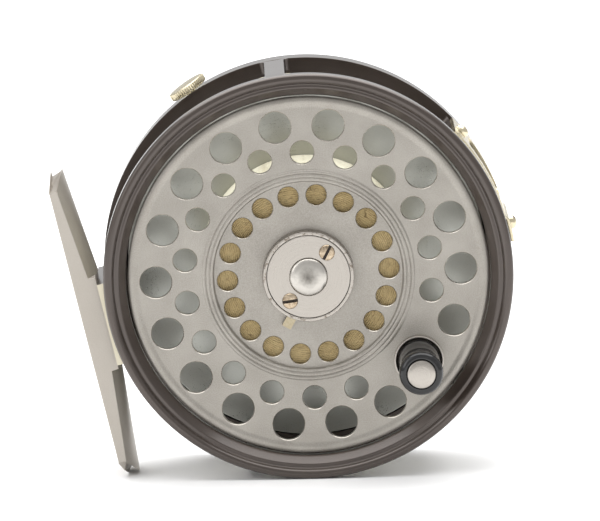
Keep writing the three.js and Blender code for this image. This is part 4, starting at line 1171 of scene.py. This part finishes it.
metals["knobBlack"] = knobMaterial()
metals["domePolished"] = domeMaterial(dome)
metals.update({name: backingMaterial(name, s) for name, s in windingPaints.items()})
finishOf = {"cage_lacquer": "cage", "spool_lacquer": "spoolLacquer", "polished_alloy": "hubTurned",
            "foot_alloy": "footAlloy", "nickel_silver": "nickelSilver", "steel": "screwSteel",
            "spring_steel": "springBlue", "brass": "bushBrass", "knob_black": "knobBlack",
            "braided_backing": "backing"}
slotOfNode = {part["node"]: part["material_slot"] for part in frame["record"]["subparts"]}
ownFinish = {"spoolRearFlange": "rearLacquerLit", "backingBody": "backingSide", "spindleCap": "domePolished",
             "coverScrew_1": "screwBrass", "coverScrew_2": "screwBrass", "handleWasher": "handleTurned",
             "handlePin": "handleTurned"}
for name, slot in slotOfPiece.items():
    obj = bpy.data.objects[name]
    obj.data.materials.append(metals[ownFinish.get(name, finishOf[slot])])
    even = obj.modifiers.new("evenShading", "WEIGHTED_NORMAL")
    even.weight = 100
    even.keep_sharp = True
    if "Screw_" in name:
        obj.data.materials.append(metals["slotShade"])
# the hole walls take the lighter copy of the lacquer, a painted highlight
bpy.data.objects["spoolFrontFlange"].data.materials.append(metals["holeWallLit"])
finishOfNode = {node: finishOf[slot] for node, slot in slotOfNode.items()}
finishOfNode["latch_lever"] = "latchBrass"
for node, obj in frame["nodes"].items():
    for slot in obj.material_slots:
        slot.material = metals[finishOfNode[node]]
print("materials made")


# studio
studio = {
    "floorRadius": 7.0,
    "world": 0.7,
    "overhead": {"size": (2.4, 2.4), "place": (0.0, 0.35, 1.5), "power": 52.0},
    "left": {"size": (0.9, 1.2), "place": (-1.5, -0.9, 0.9), "power": 7.0},
}


def makeFloor(s):
    t = np.linspace(0, 2 * np.pi, 64, endpoint=False)
    points = np.stack([s["floorRadius"] * np.cos(t), s["floorRadius"] * np.sin(t), 0 * t], -1)
    mesh = bpy.data.meshes.new("floor")
    mesh.from_pydata(points.tolist(), [], [list(range(64))])
    obj = bpy.data.objects.new("floor", mesh)
    bpy.context.collection.objects.link(obj)
    mat = bpy.data.materials.new("floorWhite")
    mat.use_nodes = True
    shader = mat.node_tree.nodes["Principled BSDF"]
    shader.inputs["Base Color"].default_value = colour(0.93, 0.93, 0.93)
    shader.inputs["Roughness"].default_value = 0.9
    mesh.materials.append(mat)


def makeLamp(name, s):
    data = bpy.data.lights.new(name, "AREA")
    data.shape = "RECTANGLE"
    data.size, data.size_y = s["size"]
    data.energy = s["power"]
    obj = bpy.data.objects.new(name, data)
    bpy.context.collection.objects.link(obj)
    place = Vector(s["place"])
    obj.location = place
    obj.rotation_euler = (Vector((0, 0, 0.04)) - place).to_track_quat("-Z", "Y").to_euler()
    obj.visible_camera = False


makeFloor(studio)
makeLamp("overhead", studio["overhead"])
makeLamp("left", studio["left"])
world = bpy.data.worlds.new("studio")
world.use_nodes = True
backdrop = world.node_tree.nodes["Background"].inputs
backdrop["Color"].default_value = colour(1, 1, 1)
backdrop["Strength"].default_value = studio["world"]
bpy.context.scene.world = world
bpy.context.scene.view_settings.view_transform = "Standard"
print("studio made")
